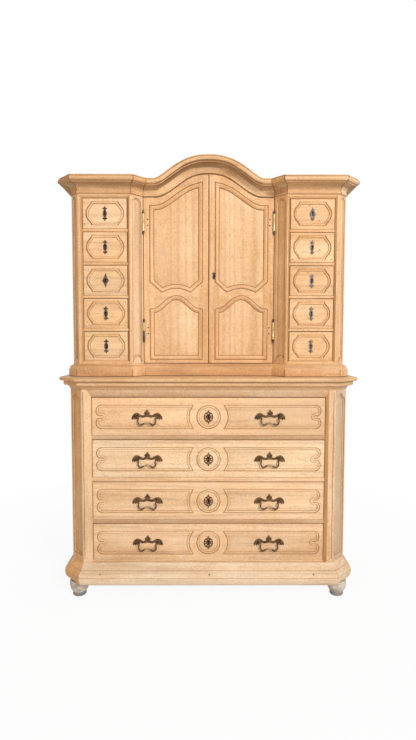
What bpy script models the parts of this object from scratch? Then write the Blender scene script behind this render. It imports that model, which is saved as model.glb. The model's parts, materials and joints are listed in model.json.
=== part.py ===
"""Two-part oak buffet: a chest of long drawers that carries a cupboard between two banks of small drawers.

Metres, +Z up. The front faces -Y, and the origin lies on the floor under the middle of the piece.
"""
import math

import bmesh
import bpy

# Clearances
SEAT_GAP = 0.0003
DRAWER_SIDE_GAP = 0.0015
DRAWER_TOP_GAP = 0.003
DOOR_GAP = 0.003
PIVOT_GAP = 0.0004

# Overall
DEPTH = 0.600
BACK_THICKNESS = 0.015
SIDE_THICKNESS = 0.022

# Feet and lower plinth
FOOT_HEIGHT = 0.080
FOOT_RADIUS = 0.049
FOOT_TIP_RADIUS = 0.034
FOOT_PAD = 0.010
FOOT_GROOVE = 0.003
FOOT_INSET = 0.036
REAR_FOOT_INSET = 0.060
PLINTH_HEIGHT = 0.108
PLINTH_PROJECTION = 0.039
PLINTH_TOE = 0.014
PLINTH_BULGE = 0.040
PLINTH_FILLET = 0.004
PLINTH_HOLLOW = 1.35
PLINTH_STEPS = 6
PLINTH_BAND = 0.090

# Chest of long drawers
LONG_DRAWERS = 4
LONG_OPENING_WIDTH = 1.154
LONG_OPENING_HEIGHT = 0.1895
LONG_RAIL = 0.022
BASE_STILE = 0.046
BASE_CANT = 0.072
BASE_BOTTOM_RAIL = 0.008
BASE_TOP_RAIL = 0.038
BASE_FRAME_THICKNESS = 0.030
BASE_TOP_THICKNESS = 0.060
BASE_TOP_OVERHANG = 0.050
RUNNER_WEB = 0.018
RUNNER_THICKNESS = 0.020
RUNNER_REACH = 0.032
GUIDE_HEIGHT = 0.020

# Long drawers and their bail pulls
LONG_FRONT_THICKNESS = 0.022
LONG_FRONT_SETBACK = 0.006
LONG_REAR_ROOM = 0.0587
LONG_BOX_HEIGHT = 0.150
DRAWER_WALL = 0.012
DRAWER_BOTTOM = 0.008
PULL_SPACING = 0.606
PULL_RISE = -0.002
BAIL_WIDTH = 0.090
BAIL_DROP = 0.042
BAIL_ROD_RADIUS = 0.0026
POST_WIDTH = 0.010
POST_HEIGHT = 0.013
POST_REACH = 0.009

# Upper case
UPPER_PLINTH_HEIGHT = 0.062
UPPER_PLINTH_PROJECTION = 0.0215
TOWER_SETBACK = 0.060
CUPBOARD_RECESS = 0.055
CUPBOARD_WIDTH = 0.662
OUTER_CANT = 0.038
INNER_STILE = 0.0145
OUTER_STILE = 0.0225
TOWER_FRAME_THICKNESS = 0.025
PARTITION_THICKNESS = 0.018

# Small drawers
SMALL_DRAWERS = 5
SMALL_OPENING_WIDTH = 0.222
SMALL_OPENING_HEIGHT = 0.149
SMALL_RAIL = 0.01375
TOWER_BOTTOM_RAIL = 0.016
TOWER_TOP_RAIL = 0.019
SMALL_FRONT_THICKNESS = 0.018
SMALL_FRONT_SETBACK = 0.004
SMALL_REAR_ROOM = 0.0907
SMALL_BOX_HEIGHT = 0.110

# Cornice, arch and roof
CORNICE_HEIGHT = 0.077
CORNICE_PROJECTION = 0.058
CORNICE_BEAD = 0.012
CORNICE_NOSE = 0.027
CORNICE_FILLET = 0.004
ROOF_THICKNESS = 0.012
ARCH_VALLEY_ROOM = 0.0034
ARCH_FLAT = 0.063
ARCH_SKEW = 1.26
ARCH_STEPS = 12
HEADER_DEPTH = 0.047
HEADER_LIP = 0.018
SHELF_HEIGHT = 0.330
SHELF_THICKNESS = 0.020
SHELF_SETBACK = 0.030
BATTEN = 0.020

# Doors and hinges
DOOR_THICKNESS = 0.025
DOOR_STILE = 0.053
DOOR_BOTTOM_RAIL = 0.041
DOOR_TOP_RAIL = 0.050
LOWER_PANEL_SIDE = 0.214
LOWER_PANEL_RISE = 0.065
MIDDLE_RAIL = 0.0775
PANEL_HUMP = 0.0225
PANEL_SHOULDER = 0.050
SHOULDER_RUN = 0.041
PANEL_REBATE = 0.008
PANEL_FRONT_SETBACK = 0.010
PANEL_THICKNESS = 0.012
HINGE_RADIUS = 0.005
HINGE_LENGTH = 0.092
HINGE_STANDOFF = 0.0025
HINGE_PIN_RADIUS = 0.0025
HINGE_BLADE = 0.0014
HINGE_BLADE_DEPTH = 0.030
HINGE_FINIAL = 0.008
KNUCKLE_TAIL = 0.004
LOWER_HINGE_HEIGHT = 0.165
UPPER_HINGE_DROP = 0.1225

# Places that follow from the sizes
BACK = DEPTH / 2
BASE_FRONT = -BACK + BASE_TOP_OVERHANG
TOWER_FRONT = BASE_FRONT + TOWER_SETBACK
DOOR_FRONT = TOWER_FRONT + CUPBOARD_RECESS
WALL_BACK = BACK - BACK_THICKNESS - SEAT_GAP

BASE_FACE = LONG_OPENING_WIDTH / 2 + BASE_STILE
BASE_HALF = BASE_FACE + BASE_CANT
CUPBOARD_HALF = CUPBOARD_WIDTH / 2
TOWER_INNER = CUPBOARD_HALF + CUPBOARD_RECESS
SMALL_INNER = TOWER_INNER + INNER_STILE
SMALL_OUTER = SMALL_INNER + SMALL_OPENING_WIDTH
TOWER_OUTER = SMALL_OUTER + OUTER_STILE
UPPER_HALF = TOWER_OUTER + OUTER_CANT
PARTITION_OUTER = SMALL_INNER - SEAT_GAP
PARTITION_INNER = PARTITION_OUTER - PARTITION_THICKNESS

BASE_FLOOR = FOOT_HEIGHT + PLINTH_HEIGHT
LONG_PITCH = LONG_OPENING_HEIGHT + LONG_RAIL
LONG_FIRST = BASE_FLOOR + BASE_BOTTOM_RAIL
BASE_CEILING = LONG_FIRST + LONG_DRAWERS * LONG_PITCH - LONG_RAIL + BASE_TOP_RAIL
TABLE = BASE_CEILING + BASE_TOP_THICKNESS
UPPER_FLOOR = TABLE + UPPER_PLINTH_HEIGHT
SMALL_PITCH = SMALL_OPENING_HEIGHT + SMALL_RAIL
SMALL_FIRST = UPPER_FLOOR + TOWER_BOTTOM_RAIL
CORNICE_FOOT = SMALL_FIRST + SMALL_DRAWERS * SMALL_PITCH - SMALL_RAIL + TOWER_TOP_RAIL
CORNICE_TOP = CORNICE_FOOT + CORNICE_HEIGHT
WALL_TOP = CORNICE_TOP - ROOF_THICKNESS - SEAT_GAP
ARCH_HALF = CUPBOARD_HALF - ARCH_FLAT
ARCH_VALLEY = CORNICE_HEIGHT + ARCH_VALLEY_ROOM
ARCH_RISE = 2 * (ARCH_HALF / (math.pi * ARCH_SKEW)) ** 2 / ARCH_VALLEY
SHELF_SEAT = UPPER_FLOOR + SHELF_HEIGHT

DOOR_FOOT = UPPER_FLOOR + DOOR_GAP
DOOR_BACK = DOOR_FRONT + DOOR_THICKNESS
DOOR_HINGE_EDGE = CUPBOARD_HALF - DOOR_GAP
DOOR_FREE_EDGE = DOOR_GAP / 2
HINGE_X = DOOR_HINGE_EDGE
HINGE_Y = DOOR_FRONT - HINGE_STANDOFF - HINGE_RADIUS
HINGE_CENTRES = {
    "lower": DOOR_FOOT + LOWER_HINGE_HEIGHT,
    "upper": CORNICE_FOOT - DOOR_GAP - UPPER_HINGE_DROP,
}

SIDES = {"left": -1, "right": 1}

# Finishes: colour, roughness, metallic
CHEST_OAK = ((0.80, 0.57, 0.35), 0.62, 0.0)
UPPER_OAK = ((0.74, 0.46, 0.23), 0.60, 0.0)
INNER_OAK = ((0.52, 0.36, 0.21), 0.75, 0.0)
WORN_FOOT = ((0.55, 0.49, 0.42), 0.80, 0.0)
BRASS = ((0.76, 0.62, 0.28), 0.35, 1.0)
BRONZE = ((0.26, 0.18, 0.09), 0.45, 1.0)


def arc(centre, radius_u, radius_v, start, end, steps):
    """Points on part of an ellipse, between two angles in degrees, both ends included."""
    angles = [math.radians(start + (end - start) * i / steps) for i in range(steps + 1)]
    return [(centre[0] + radius_u * math.cos(a), centre[1] + radius_v * math.sin(a)) for a in angles]


def mitres(path, closed=False):
    """Outward mitre vector at each corner of a plan path that keeps the outside on its right."""
    count = len(path)
    vectors = []
    for i in range(count):
        normals = []
        for j in (i - 1, i):
            if closed or 0 <= j < count - 1:
                (x0, y0), (x1, y1) = path[j % count], path[(j + 1) % count]
                length = math.hypot(x1 - x0, y1 - y0)
                normals.append(((y1 - y0) / length, (x0 - x1) / length))
        x = sum(n[0] for n in normals)
        y = sum(n[1] for n in normals)
        scale = len(normals) / (x * x + y * y)
        vectors.append((x * scale, y * scale))
    return vectors


def offset_path(path, distance, closed=False):
    """The path moved outwards by a distance, with mitred corners."""
    return [
        (x + distance * mx, y + distance * my)
        for (x, y), (mx, my) in zip(path, mitres(path, closed))
    ]


def base_path():
    """Plan of the chest from its back left corner, round the front, to its back right corner."""
    half = [(BASE_FACE, BASE_FRONT), (BASE_HALF, BASE_FRONT + BASE_CANT), (BASE_HALF, BACK)]
    return [(-x, y) for x, y in reversed(half)] + half


def upper_path():
    """Plan of the upper case, which steps back between its two towers."""
    half = [
        (CUPBOARD_HALF, DOOR_FRONT),
        (TOWER_INNER, TOWER_FRONT),
        (TOWER_OUTER, TOWER_FRONT),
        (UPPER_HALF, TOWER_FRONT + OUTER_CANT),
        (UPPER_HALF, BACK),
    ]
    return [(-x, y) for x, y in reversed(half)] + half


def swell(share):
    """A smooth ogee swell: 1 at the middle, falling to 0 at a share of -1 or 1."""
    return 0.5 + 0.5 * math.cos(math.pi * share)


def arch_rise(x):
    """Height of the ogee arch above its springing at a distance from the middle."""
    share = min(1.0, abs(x) / ARCH_HALF) ** ARCH_SKEW
    return ARCH_RISE * swell(share)


def arch_normal(x):
    """Unit normal of the arch, in X and Z."""
    step = ARCH_HALF / 1000
    slope = (arch_rise(x + step) - arch_rise(x - step)) / (2 * step)
    length = math.hypot(slope, 1)
    return -slope / length, 1 / length


def arch_line(start, end, distance):
    """The arch between two places in X, moved by a distance along its normal."""
    steps = max(2, round(2 * ARCH_STEPS * abs(end - start) / (2 * ARCH_HALF)))
    points = []
    for i in range(steps + 1):
        x = start + (end - start) * i / steps
        nx, nz = arch_normal(x)
        points.append((x + distance * nx, CORNICE_FOOT + arch_rise(x) + distance * nz))
    return points


def link(name, bm, smooth_angle=None):
    """Turn a bmesh into a linked object, with its faces pointing out."""
    bmesh.ops.recalc_face_normals(bm, faces=bm.faces)
    mesh = bpy.data.meshes.new(name)
    bm.to_mesh(mesh)
    bm.free()
    if smooth_angle is not None:
        mesh.shade_smooth()
        mesh.set_sharp_from_angle(angle=math.radians(smooth_angle))
    obj = bpy.data.objects.new(name, mesh)
    bpy.context.scene.collection.objects.link(obj)
    return obj


def add_rings(bm, rings, closed_ends=True):
    """Skin a row of rings of points with faces, and cap both ends."""
    loops = [[bm.verts.new(point) for point in ring] for ring in rings]
    for low, high in zip(loops, loops[1:]):
        for i in range(len(low)):
            j = (i + 1) % len(low)
            bm.faces.new((low[i], low[j], high[j], high[i]))
    if closed_ends:
        bm.faces.new(loops[0])
        bm.faces.new(loops[-1])


def rings_object(name, rings, smooth_angle=None):
    bm = bmesh.new()
    add_rings(bm, rings)
    return link(name, bm, smooth_angle)


PLACE = {
    "X": lambda u, v, w: (w, u, v),
    "Y": lambda u, v, w: (u, w, v),
    "Z": lambda u, v, w: (u, v, w),
}


def prism(name, outline, axis, start, end):
    """An outline in the plane across an axis, extruded along it."""
    place = PLACE[axis]
    return rings_object(name, [[place(u, v, w) for u, v in outline] for w in (start, end)])


def block_rings(low, high):
    (x0, y0, z0), (x1, y1, z1) = low, high
    return [[(x0, y0, z), (x1, y0, z), (x1, y1, z), (x0, y1, z)] for z in (z0, z1)]


def block(name, low, high):
    return rings_object(name, block_rings(low, high))


def blocks(name, boxes):
    """Several separate boxes in one object, for cutting."""
    bm = bmesh.new()
    for low, high in boxes:
        add_rings(bm, block_rings(low, high))
    return link(name, bm)


def stack(name, path, profile, foot):
    """A slab whose outline follows the plan path at each step of its edge profile."""
    rings = [[(x, y, foot + height) for x, y in offset_path(path, out)] for out, height in profile]
    return rings_object(name, rings)


def corner_ring(corner, profile, foot):
    """A moulding's section, set out and up from one corner of its plan path."""
    (x, y), (mx, my) = corner
    return [(x + out * mx, y + out * my, foot + up) for out, up in profile]


def sweep(name, corners, profile, foot):
    """A moulding of closed section that runs level along a plan path."""
    return rings_object(name, [corner_ring(corner, profile, foot) for corner in corners])


def turned(name, profile, centre, steps):
    """A solid of revolution about a vertical axis, from a profile of radius and height."""
    rings = []
    for radius, height in profile:
        ring = arc(centre, radius, radius, 0, 360, steps)[:-1]
        rings.append([(x, y, height) for x, y in ring])
    return rings_object(name, rings, smooth_angle=40)


def combine(target, tool, operation):
    """Keep a Boolean on the target, with its tool as a hidden wire guide."""
    modifier = target.modifiers.new(tool.name, "BOOLEAN")
    modifier.operation = operation
    modifier.solver = "EXACT"
    modifier.object = tool
    tool.hide_render = True
    tool.display_type = "WIRE"


def dress(obj, finish, parent=None):
    """Give a finished piece its own material, and hang it on its moving parent."""
    colour, roughness, metallic = finish
    material = bpy.data.materials.new(obj.name)
    material.use_nodes = True
    shader = material.node_tree.nodes["Principled BSDF"]
    shader.inputs["Base Color"].default_value = (*colour, 1)
    shader.inputs["Roughness"].default_value = roughness
    shader.inputs["Metallic"].default_value = metallic
    obj.data.materials.append(material)
    if parent is not None:
        obj.parent = parent
        obj.location = tuple(-value for value in parent.matrix_basis.translation)


def axis_empty(name, location):
    empty = bpy.data.objects.new(name, None)
    empty.location = location
    bpy.context.scene.collection.objects.link(empty)
    return empty


def build_feet():
    """Four turned feet, full under the plinth and drawn in to a grooved, worn tip."""
    shoulder = FOOT_HEIGHT * 0.83
    neck = FOOT_TIP_RADIUS - FOOT_GROOVE
    turn = math.acos(neck / FOOT_RADIUS)
    belly = (shoulder - FOOT_PAD) / math.sin(turn)
    profile = [(FOOT_TIP_RADIUS, 0), (FOOT_TIP_RADIUS, FOOT_PAD)]
    profile += arc((0, shoulder), FOOT_RADIUS, belly, -math.degrees(turn), 0, 6)
    profile.append((FOOT_RADIUS - FOOT_GROOVE, FOOT_HEIGHT - SEAT_GAP))
    front = BASE_FRONT + BASE_CANT - FOOT_INSET / 2
    rear = BACK - REAR_FOOT_INSET
    for side, sign in SIDES.items():
        for row, y in (("front", front), ("rear", rear)):
            x = sign * (BASE_HALF - FOOT_INSET)
            dress(turned(f"foot_{row}_{side}", profile, (x, y), 24), WORN_FOOT)


def build_base_plinth():
    """Moulding round the chest's foot: a sloping hollow, a fillet, and a bulge over a drawn-in toe."""
    top = PLINTH_HEIGHT - SEAT_GAP
    profile = [(-PLINTH_BAND, 0)]
    profile += arc((PLINTH_TOE, PLINTH_BULGE), PLINTH_PROJECTION - PLINTH_TOE, PLINTH_BULGE, -90, 40, 8)
    lip, ledge = profile[-1]
    brink, start = lip - PLINTH_FILLET, ledge + PLINTH_FILLET
    profile.append((brink, ledge))
    for i in range(PLINTH_STEPS + 1):
        share = i / PLINTH_STEPS
        profile.append((brink * (1 - share) ** PLINTH_HOLLOW, start + (top - start) * share))
    profile.append((-PLINTH_BAND, top))
    path = base_path()
    dress(sweep("base_plinth", list(zip(path, mitres(path))), profile, FOOT_HEIGHT), CHEST_OAK)


def long_opening(index):
    """Foot and top of a long drawer's opening, counted from the top."""
    foot = LONG_FIRST + (LONG_DRAWERS - index) * LONG_PITCH
    return foot, foot + LONG_OPENING_HEIGHT


def small_opening(index):
    """Foot and top of a small drawer's opening, counted from the top."""
    foot = SMALL_FIRST + (SMALL_DRAWERS - index) * SMALL_PITCH
    return foot, foot + SMALL_OPENING_HEIGHT


def build_base_case():
    """Sides, back, canted face frame and drawer runners of the chest."""
    foot, top = BASE_FLOOR + SEAT_GAP, BASE_CEILING - SEAT_GAP
    path = base_path()
    outer = path[1:-1]
    inner = offset_path(path, -BASE_FRAME_THICKNESS)[1:-1]
    cant_end = BASE_FRONT + BASE_CANT
    spare = BASE_FRAME_THICKNESS * math.sqrt(2)
    inner[0] = (-(BASE_HALF - spare), cant_end)
    inner[-1] = (BASE_HALF - spare, cant_end)
    frame = prism("base_face_frame", outer + inner[::-1], "Z", foot, top)
    half = LONG_OPENING_WIDTH / 2
    openings = []
    for index in range(1, LONG_DRAWERS + 1):
        low, high = long_opening(index)
        openings.append(((-half, -DEPTH, low), (half, 0, high)))
    combine(frame, blocks("long_opening_cutter", openings), "DIFFERENCE")
    dress(frame, CHEST_OAK)

    back_low = (-BASE_HALF, WALL_BACK + SEAT_GAP, foot)
    dress(block("base_back_board", back_low, (BASE_HALF, BACK, top)), INNER_OAK)
    for side, sign in SIDES.items():
        xs = sorted((sign * (BASE_HALF - SIDE_THICKNESS), sign * BASE_HALF))
        panel = block(f"base_{side}_side", (xs[0], cant_end + SEAT_GAP, foot), (xs[1], WALL_BACK, top))
        dress(panel, CHEST_OAK)
        outline = [(sign * u, v) for u, v in runner_outline(foot, top)]
        runners = prism(f"base_{side}_runners", outline, "Y", cant_end + SEAT_GAP, WALL_BACK)
        dress(runners, INNER_OAK)


def runner_outline(foot, top):
    """Section of the drawer runners: an upright web with a ledge and a guide under each long drawer."""
    outer = BASE_HALF - SIDE_THICKNESS - SEAT_GAP
    web = outer - RUNNER_WEB
    ledge = LONG_OPENING_WIDTH / 2 - RUNNER_REACH
    guide = LONG_OPENING_WIDTH / 2
    outline = [(outer, top), (outer, foot)]
    for index in range(LONG_DRAWERS, 0, -1):
        seat = long_opening(index)[0]
        under = max(foot, seat - RUNNER_THICKNESS)
        if under > foot:
            outline.append((web, under))
        outline += [(ledge, under), (ledge, seat), (guide, seat)]
        outline += [(guide, seat + GUIDE_HEIGHT), (web, seat + GUIDE_HEIGHT)]
    outline.append((web, top))
    return outline


def build_base_top():
    """Chest top with a moulded edge: fillets, a quarter round and a hollow under a thin nose."""
    edge, height = BASE_TOP_OVERHANG, BASE_TOP_THICKNESS - SEAT_GAP
    profile = [(edge * 0.10, 0), (edge * 0.10, height * 0.07)]
    profile += arc((edge * 0.14, height * 0.40), edge * 0.36, height * 0.33, 270, 360, 5)
    profile += [(edge * 0.56, height * 0.40), (edge * 0.56, height * 0.46)]
    profile += arc((edge * 0.92, height * 0.46), edge * 0.30, height * 0.28, 180, 90, 5)
    profile += [(edge, height * 0.76), (edge, height * 0.90), (edge * 0.94, height)]
    dress(stack("base_top", base_path(), profile, BASE_CEILING), CHEST_OAK)


def build_upper_plinth():
    """Floor of the upper case, with a rounded plinth edge that follows the towers."""
    height = UPPER_PLINTH_HEIGHT - SEAT_GAP
    out = UPPER_PLINTH_PROJECTION
    profile = [(out, 0)] + arc((out * 0.25, height * 0.48), out * 0.75, height * 0.42, 0, 90, 6)
    profile += [(out * 0.12, height * 0.92), (out * 0.12, height)]
    dress(stack("upper_plinth", upper_path(), profile, TABLE + SEAT_GAP), UPPER_OAK)


def tower_plan(sign):
    """Plan of a tower's front frame: outer cant, face and inner cant, one thickness deep."""
    path = upper_path()[5:9]
    inner = offset_path(upper_path(), -TOWER_FRAME_THICKNESS)[5:9]
    spare = TOWER_FRAME_THICKNESS * math.sqrt(2)
    outer_end = TOWER_FRONT + OUTER_CANT
    inner_end = DOOR_FRONT + TOWER_FRAME_THICKNESS
    inner[-1] = (UPPER_HALF - spare, outer_end)
    shift = TOWER_FRAME_THICKNESS - spare
    inner[0] = (CUPBOARD_HALF - shift, inner_end)
    outline = path + inner[::-1] + [(CUPBOARD_HALF, inner_end)]
    return [(sign * x, y) for x, y in outline]


def build_tower(side, sign):
    """One bank for small drawers: side, front frame, and the partition with its dust boards."""
    foot = UPPER_FLOOR + SEAT_GAP
    frame = prism(f"{side}_tower_frame", tower_plan(sign), "Z", foot, WALL_TOP)
    xs = sorted((sign * SMALL_INNER, sign * SMALL_OUTER))
    openings = []
    for index in range(1, SMALL_DRAWERS + 1):
        low, high = small_opening(index)
        openings.append(((xs[0], -DEPTH, low), (xs[1], 0, high)))
    combine(frame, blocks(f"{side}_small_opening_cutter", openings), "DIFFERENCE")
    dress(frame, UPPER_OAK)

    xs = sorted((sign * (UPPER_HALF - SIDE_THICKNESS), sign * UPPER_HALF))
    front = TOWER_FRONT + OUTER_CANT + SEAT_GAP
    dress(block(f"upper_{side}_side", (xs[0], front, foot), (xs[1], WALL_BACK, WALL_TOP)), UPPER_OAK)

    outline = [(sign * u, v) for u, v in partition_outline(foot)]
    partition = prism(f"{side}_tower_partition", outline, "Y", TOWER_FRONT, WALL_BACK)
    behind = offset_path(upper_path(), -TOWER_FRAME_THICKNESS - SEAT_GAP)[5:9]
    wide = 2 * UPPER_HALF
    ahead = [(wide, behind[-1][1]), (wide, -DEPTH), (0, -DEPTH), (0, behind[0][1])]
    plan = [(sign * x, y) for x, y in behind + ahead]
    cutter = prism(f"{side}_tower_front_cutter", plan, "Z", TABLE, CORNICE_TOP)
    combine(partition, cutter, "DIFFERENCE")
    dress(partition, INNER_OAK)


def partition_outline(foot):
    """Section of a partition: a dust board with a guide under each drawer, and a batten for the shelf."""
    wall = UPPER_HALF - SIDE_THICKNESS - SEAT_GAP
    outline = [(PARTITION_INNER, foot)]
    under = foot
    for index in range(SMALL_DRAWERS, 0, -1):
        seat, ceiling = small_opening(index)
        if index < SMALL_DRAWERS:
            outline.append((PARTITION_OUTER, under))
        outline += [(wall, under), (wall, seat + GUIDE_HEIGHT), (SMALL_OUTER, seat + GUIDE_HEIGHT)]
        outline += [(SMALL_OUTER, seat), (PARTITION_OUTER, seat)]
        under = ceiling
    outline += [(PARTITION_OUTER, WALL_TOP), (PARTITION_INNER, WALL_TOP)]
    outline += [(PARTITION_INNER, SHELF_SEAT), (PARTITION_INNER - BATTEN, SHELF_SEAT)]
    outline += [(PARTITION_INNER - BATTEN, SHELF_SEAT - BATTEN), (PARTITION_INNER, SHELF_SEAT - BATTEN)]
    return outline


def build_upper_middle():
    """Back, shelf, arched header and arched roof of the upper case."""
    foot = UPPER_FLOOR + SEAT_GAP
    under_roof = CORNICE_HEIGHT - ROOF_THICKNESS - SEAT_GAP
    crown = arch_line(-ARCH_HALF, ARCH_HALF, under_roof)

    back = [(-UPPER_HALF, foot), (-UPPER_HALF, WALL_TOP)] + crown
    back += [(UPPER_HALF, WALL_TOP), (UPPER_HALF, foot)]
    dress(prism("upper_back_board", back, "Y", WALL_BACK + SEAT_GAP, BACK), INNER_OAK)

    reach = PARTITION_INNER - SEAT_GAP
    low = (-reach, DOOR_BACK + SHELF_SETBACK, SHELF_SEAT + SEAT_GAP)
    dress(block("cupboard_shelf", low, (reach, WALL_BACK, low[2] + SHELF_THICKNESS)), INNER_OAK)

    reach = CUPBOARD_HALF - SEAT_GAP
    springing = CORNICE_FOOT - HEADER_LIP
    soffit = [(-reach, springing)] + arch_line(-ARCH_HALF, ARCH_HALF, -HEADER_LIP) + [(reach, springing)]
    outline = soffit + [(reach, WALL_TOP)] + crown[::-1] + [(-reach, WALL_TOP)]
    header = prism("arch_header", outline, "Y", DOOR_FRONT, DOOR_FRONT + HEADER_DEPTH)
    wide, deep = CUPBOARD_HALF + BATTEN, CORNICE_FOOT - 2 * HEADER_LIP
    rebate = [(-wide, deep), (-wide, CORNICE_FOOT)] + arch_line(-ARCH_HALF, ARCH_HALF, 0)
    rebate += [(wide, CORNICE_FOOT), (wide, deep)]
    stop = DOOR_BACK + SEAT_GAP
    combine(header, prism("door_rebate_cutter", rebate, "Y", TOWER_FRONT, stop), "DIFFERENCE")
    dress(header, UPPER_OAK)

    roof_foot, roof_top = CORNICE_HEIGHT - ROOF_THICKNESS, CORNICE_HEIGHT
    wide = 2 * UPPER_HALF
    band = [(-wide, CORNICE_FOOT + roof_foot)] + arch_line(-ARCH_HALF, ARCH_HALF, roof_foot)
    band += [(wide, CORNICE_FOOT + roof_foot), (wide, CORNICE_TOP)]
    band += arch_line(ARCH_HALF, -ARCH_HALF, roof_top) + [(-wide, CORNICE_TOP)]
    roof = prism("roof_board", band, "Y", -DEPTH, DEPTH)
    plan = offset_path(upper_path(), -SEAT_GAP)
    trim = prism("roof_plan_cutter", plan, "Z", UPPER_FLOOR, CORNICE_TOP + 2 * ARCH_RISE)
    combine(roof, trim, "INTERSECT")
    dress(roof, INNER_OAK)


def cornice_profile():
    """Section of the cornice, as distance out and height: bead, deep hollow, fillets and round nose."""
    nose_foot = CORNICE_HEIGHT - CORNICE_NOSE
    neck = CORNICE_BEAD * 0.5
    ledge = CORNICE_PROJECTION * 0.60
    profile = [(SEAT_GAP, 0)]
    profile += arc((neck, CORNICE_BEAD * 0.5), CORNICE_BEAD * 0.42, CORNICE_BEAD * 0.5, -90, 90, 6)
    hollow = nose_foot - CORNICE_FILLET - CORNICE_BEAD
    profile += arc((ledge * 0.88, CORNICE_BEAD), ledge * 0.88 - neck, hollow, 180, 90, 6)
    profile += [(ledge, nose_foot - CORNICE_FILLET), (ledge, nose_foot)]
    nose = CORNICE_PROJECTION - ledge
    nose_centre = (ledge + nose * 0.45, nose_foot + CORNICE_NOSE / 2)
    profile += arc(nose_centre, nose * 0.55, CORNICE_NOSE / 2, -90, 90, 8)
    profile.append((SEAT_GAP, CORNICE_HEIGHT))
    return profile


def build_cornice():
    """One moulding that runs along the sides, round both towers and over the arch."""
    profile = cornice_profile()
    path = upper_path()
    corners = list(zip(path, mitres(path)))

    def arch_ring(x):
        nx, nz = arch_normal(x)
        foot = CORNICE_FOOT + arch_rise(x)
        return [(x + up * nx, DOOR_FRONT - out, foot + up * nz) for out, up in profile]

    steps = 2 * ARCH_STEPS
    rings = [corner_ring(corner, profile, CORNICE_FOOT) for corner in corners[:5]]
    rings += [arch_ring(-ARCH_HALF + 2 * ARCH_HALF * i / steps) for i in range(steps + 1)]
    rings += [corner_ring(corner, profile, CORNICE_FOOT) for corner in corners[5:]]
    dress(rings_object("cornice", rings), UPPER_OAK)


def upper_panel_outline():
    """Sight outline of the upper panel of the right door, in X and Z."""
    inner, outer = DOOR_FREE_EDGE + DOOR_STILE, DOOR_HINGE_EDGE - DOOR_STILE
    middle = (inner + outer) / 2
    hump_top = DOOR_FOOT + DOOR_BOTTOM_RAIL + LOWER_PANEL_SIDE + LOWER_PANEL_RISE + MIDDLE_RAIL
    tip = hump_top - PANEL_HUMP
    shoulder = tip + PANEL_SHOULDER
    reach = middle - inner - SHOULDER_RUN
    outline = [(inner, shoulder)]
    steps = 8
    for i in range(steps + 1):
        share = -1 + 2 * i / steps
        outline.append((middle + share * reach, tip + PANEL_HUMP * swell(share)))
    outline.append((outer, shoulder))
    top = arch_line(outer, inner, 0)
    return outline + [(x, z - DOOR_GAP - DOOR_TOP_RAIL) for x, z in top]


def lower_panel_outline():
    """Sight outline of the lower panel of the right door, in X and Z."""
    inner, outer = DOOR_FREE_EDGE + DOOR_STILE, DOOR_HINGE_EDGE - DOOR_STILE
    middle, half = (inner + outer) / 2, (outer - inner) / 2
    foot = DOOR_FOOT + DOOR_BOTTOM_RAIL
    spring = foot + LOWER_PANEL_SIDE
    outline = [(inner, foot), (outer, foot)]
    steps = 12
    for i in range(steps + 1):
        share = 1 - 2 * i / steps
        outline.append((middle + share * half, spring + LOWER_PANEL_RISE * swell(share)))
    return outline


def knuckle_outline(sign):
    """Plan of a door knuckle: a round barrel with a tail let into the door's stile."""
    meet = math.sqrt(HINGE_RADIUS ** 2 - KNUCKLE_TAIL ** 2)
    depth = HINGE_RADIUS + HINGE_STANDOFF + KNUCKLE_TAIL
    turn = math.degrees(math.atan2(meet, KNUCKLE_TAIL))
    outline = [(0, depth), (KNUCKLE_TAIL, depth)] + arc((0, 0), HINGE_RADIUS, HINGE_RADIUS, turn, -270, 12)
    return [(sign * (HINGE_X - u), HINGE_Y + v) for u, v in outline]


def build_door(side, sign):
    """A framed door with two shaped panels, hung on two barrel hinges."""
    pivot = axis_empty(f"{side}_door_axis", (sign * HINGE_X, HINGE_Y, DOOR_FOOT))
    top = arch_line(DOOR_HINGE_EDGE, DOOR_FREE_EDGE, -DOOR_GAP)
    top[0] = (DOOR_HINGE_EDGE, top[0][1])
    top[-1] = (DOOR_FREE_EDGE, top[-1][1])
    outline = [(DOOR_FREE_EDGE, DOOR_FOOT), (DOOR_HINGE_EDGE, DOOR_FOOT)] + top
    frame = prism(f"{side}_door_frame", [(sign * x, z) for x, z in outline], "Y", DOOR_FRONT, DOOR_BACK)
    for level, centre in HINGE_CENTRES.items():
        low, high = centre + PIVOT_GAP, centre + HINGE_LENGTH / 2
        knuckle = prism(f"{side}_{level}_knuckle_tool", knuckle_outline(sign), "Z", low, high)
        combine(frame, knuckle, "UNION")
        radius = HINGE_PIN_RADIUS + PIVOT_GAP
        bore = [(radius, low - HINGE_FINIAL), (radius, high + HINGE_FINIAL)]
        bore_tool = turned(f"{side}_{level}_bore_cutter", bore, (sign * HINGE_X, HINGE_Y), 12)
        combine(frame, bore_tool, "DIFFERENCE")
        build_hinge(f"hinge_{side}_{level}", sign, centre)

    panel_front = DOOR_FRONT + PANEL_FRONT_SETBACK
    for level, sight in (("lower", lower_panel_outline()), ("upper", upper_panel_outline())):
        opening = [(sign * x, z) for x, z in sight]
        seat = [(sign * x, z) for x, z in offset_path(sight, PANEL_REBATE, closed=True)]
        edge = offset_path(sight, PANEL_REBATE - SEAT_GAP, closed=True)
        through = prism(f"{side}_{level}_sight_cutter", opening, "Y", TOWER_FRONT, 0)
        combine(frame, through, "DIFFERENCE")
        rebate = prism(f"{side}_{level}_rebate_cutter", seat, "Y", panel_front, 0)
        combine(frame, rebate, "DIFFERENCE")
        start = panel_front + SEAT_GAP
        board = [(sign * x, z) for x, z in edge]
        panel = prism(f"{side}_door_{level}_panel", board, "Y", start, start + PANEL_THICKNESS)
        dress(panel, UPPER_OAK, pivot)
    dress(frame, UPPER_OAK, pivot)


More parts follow.
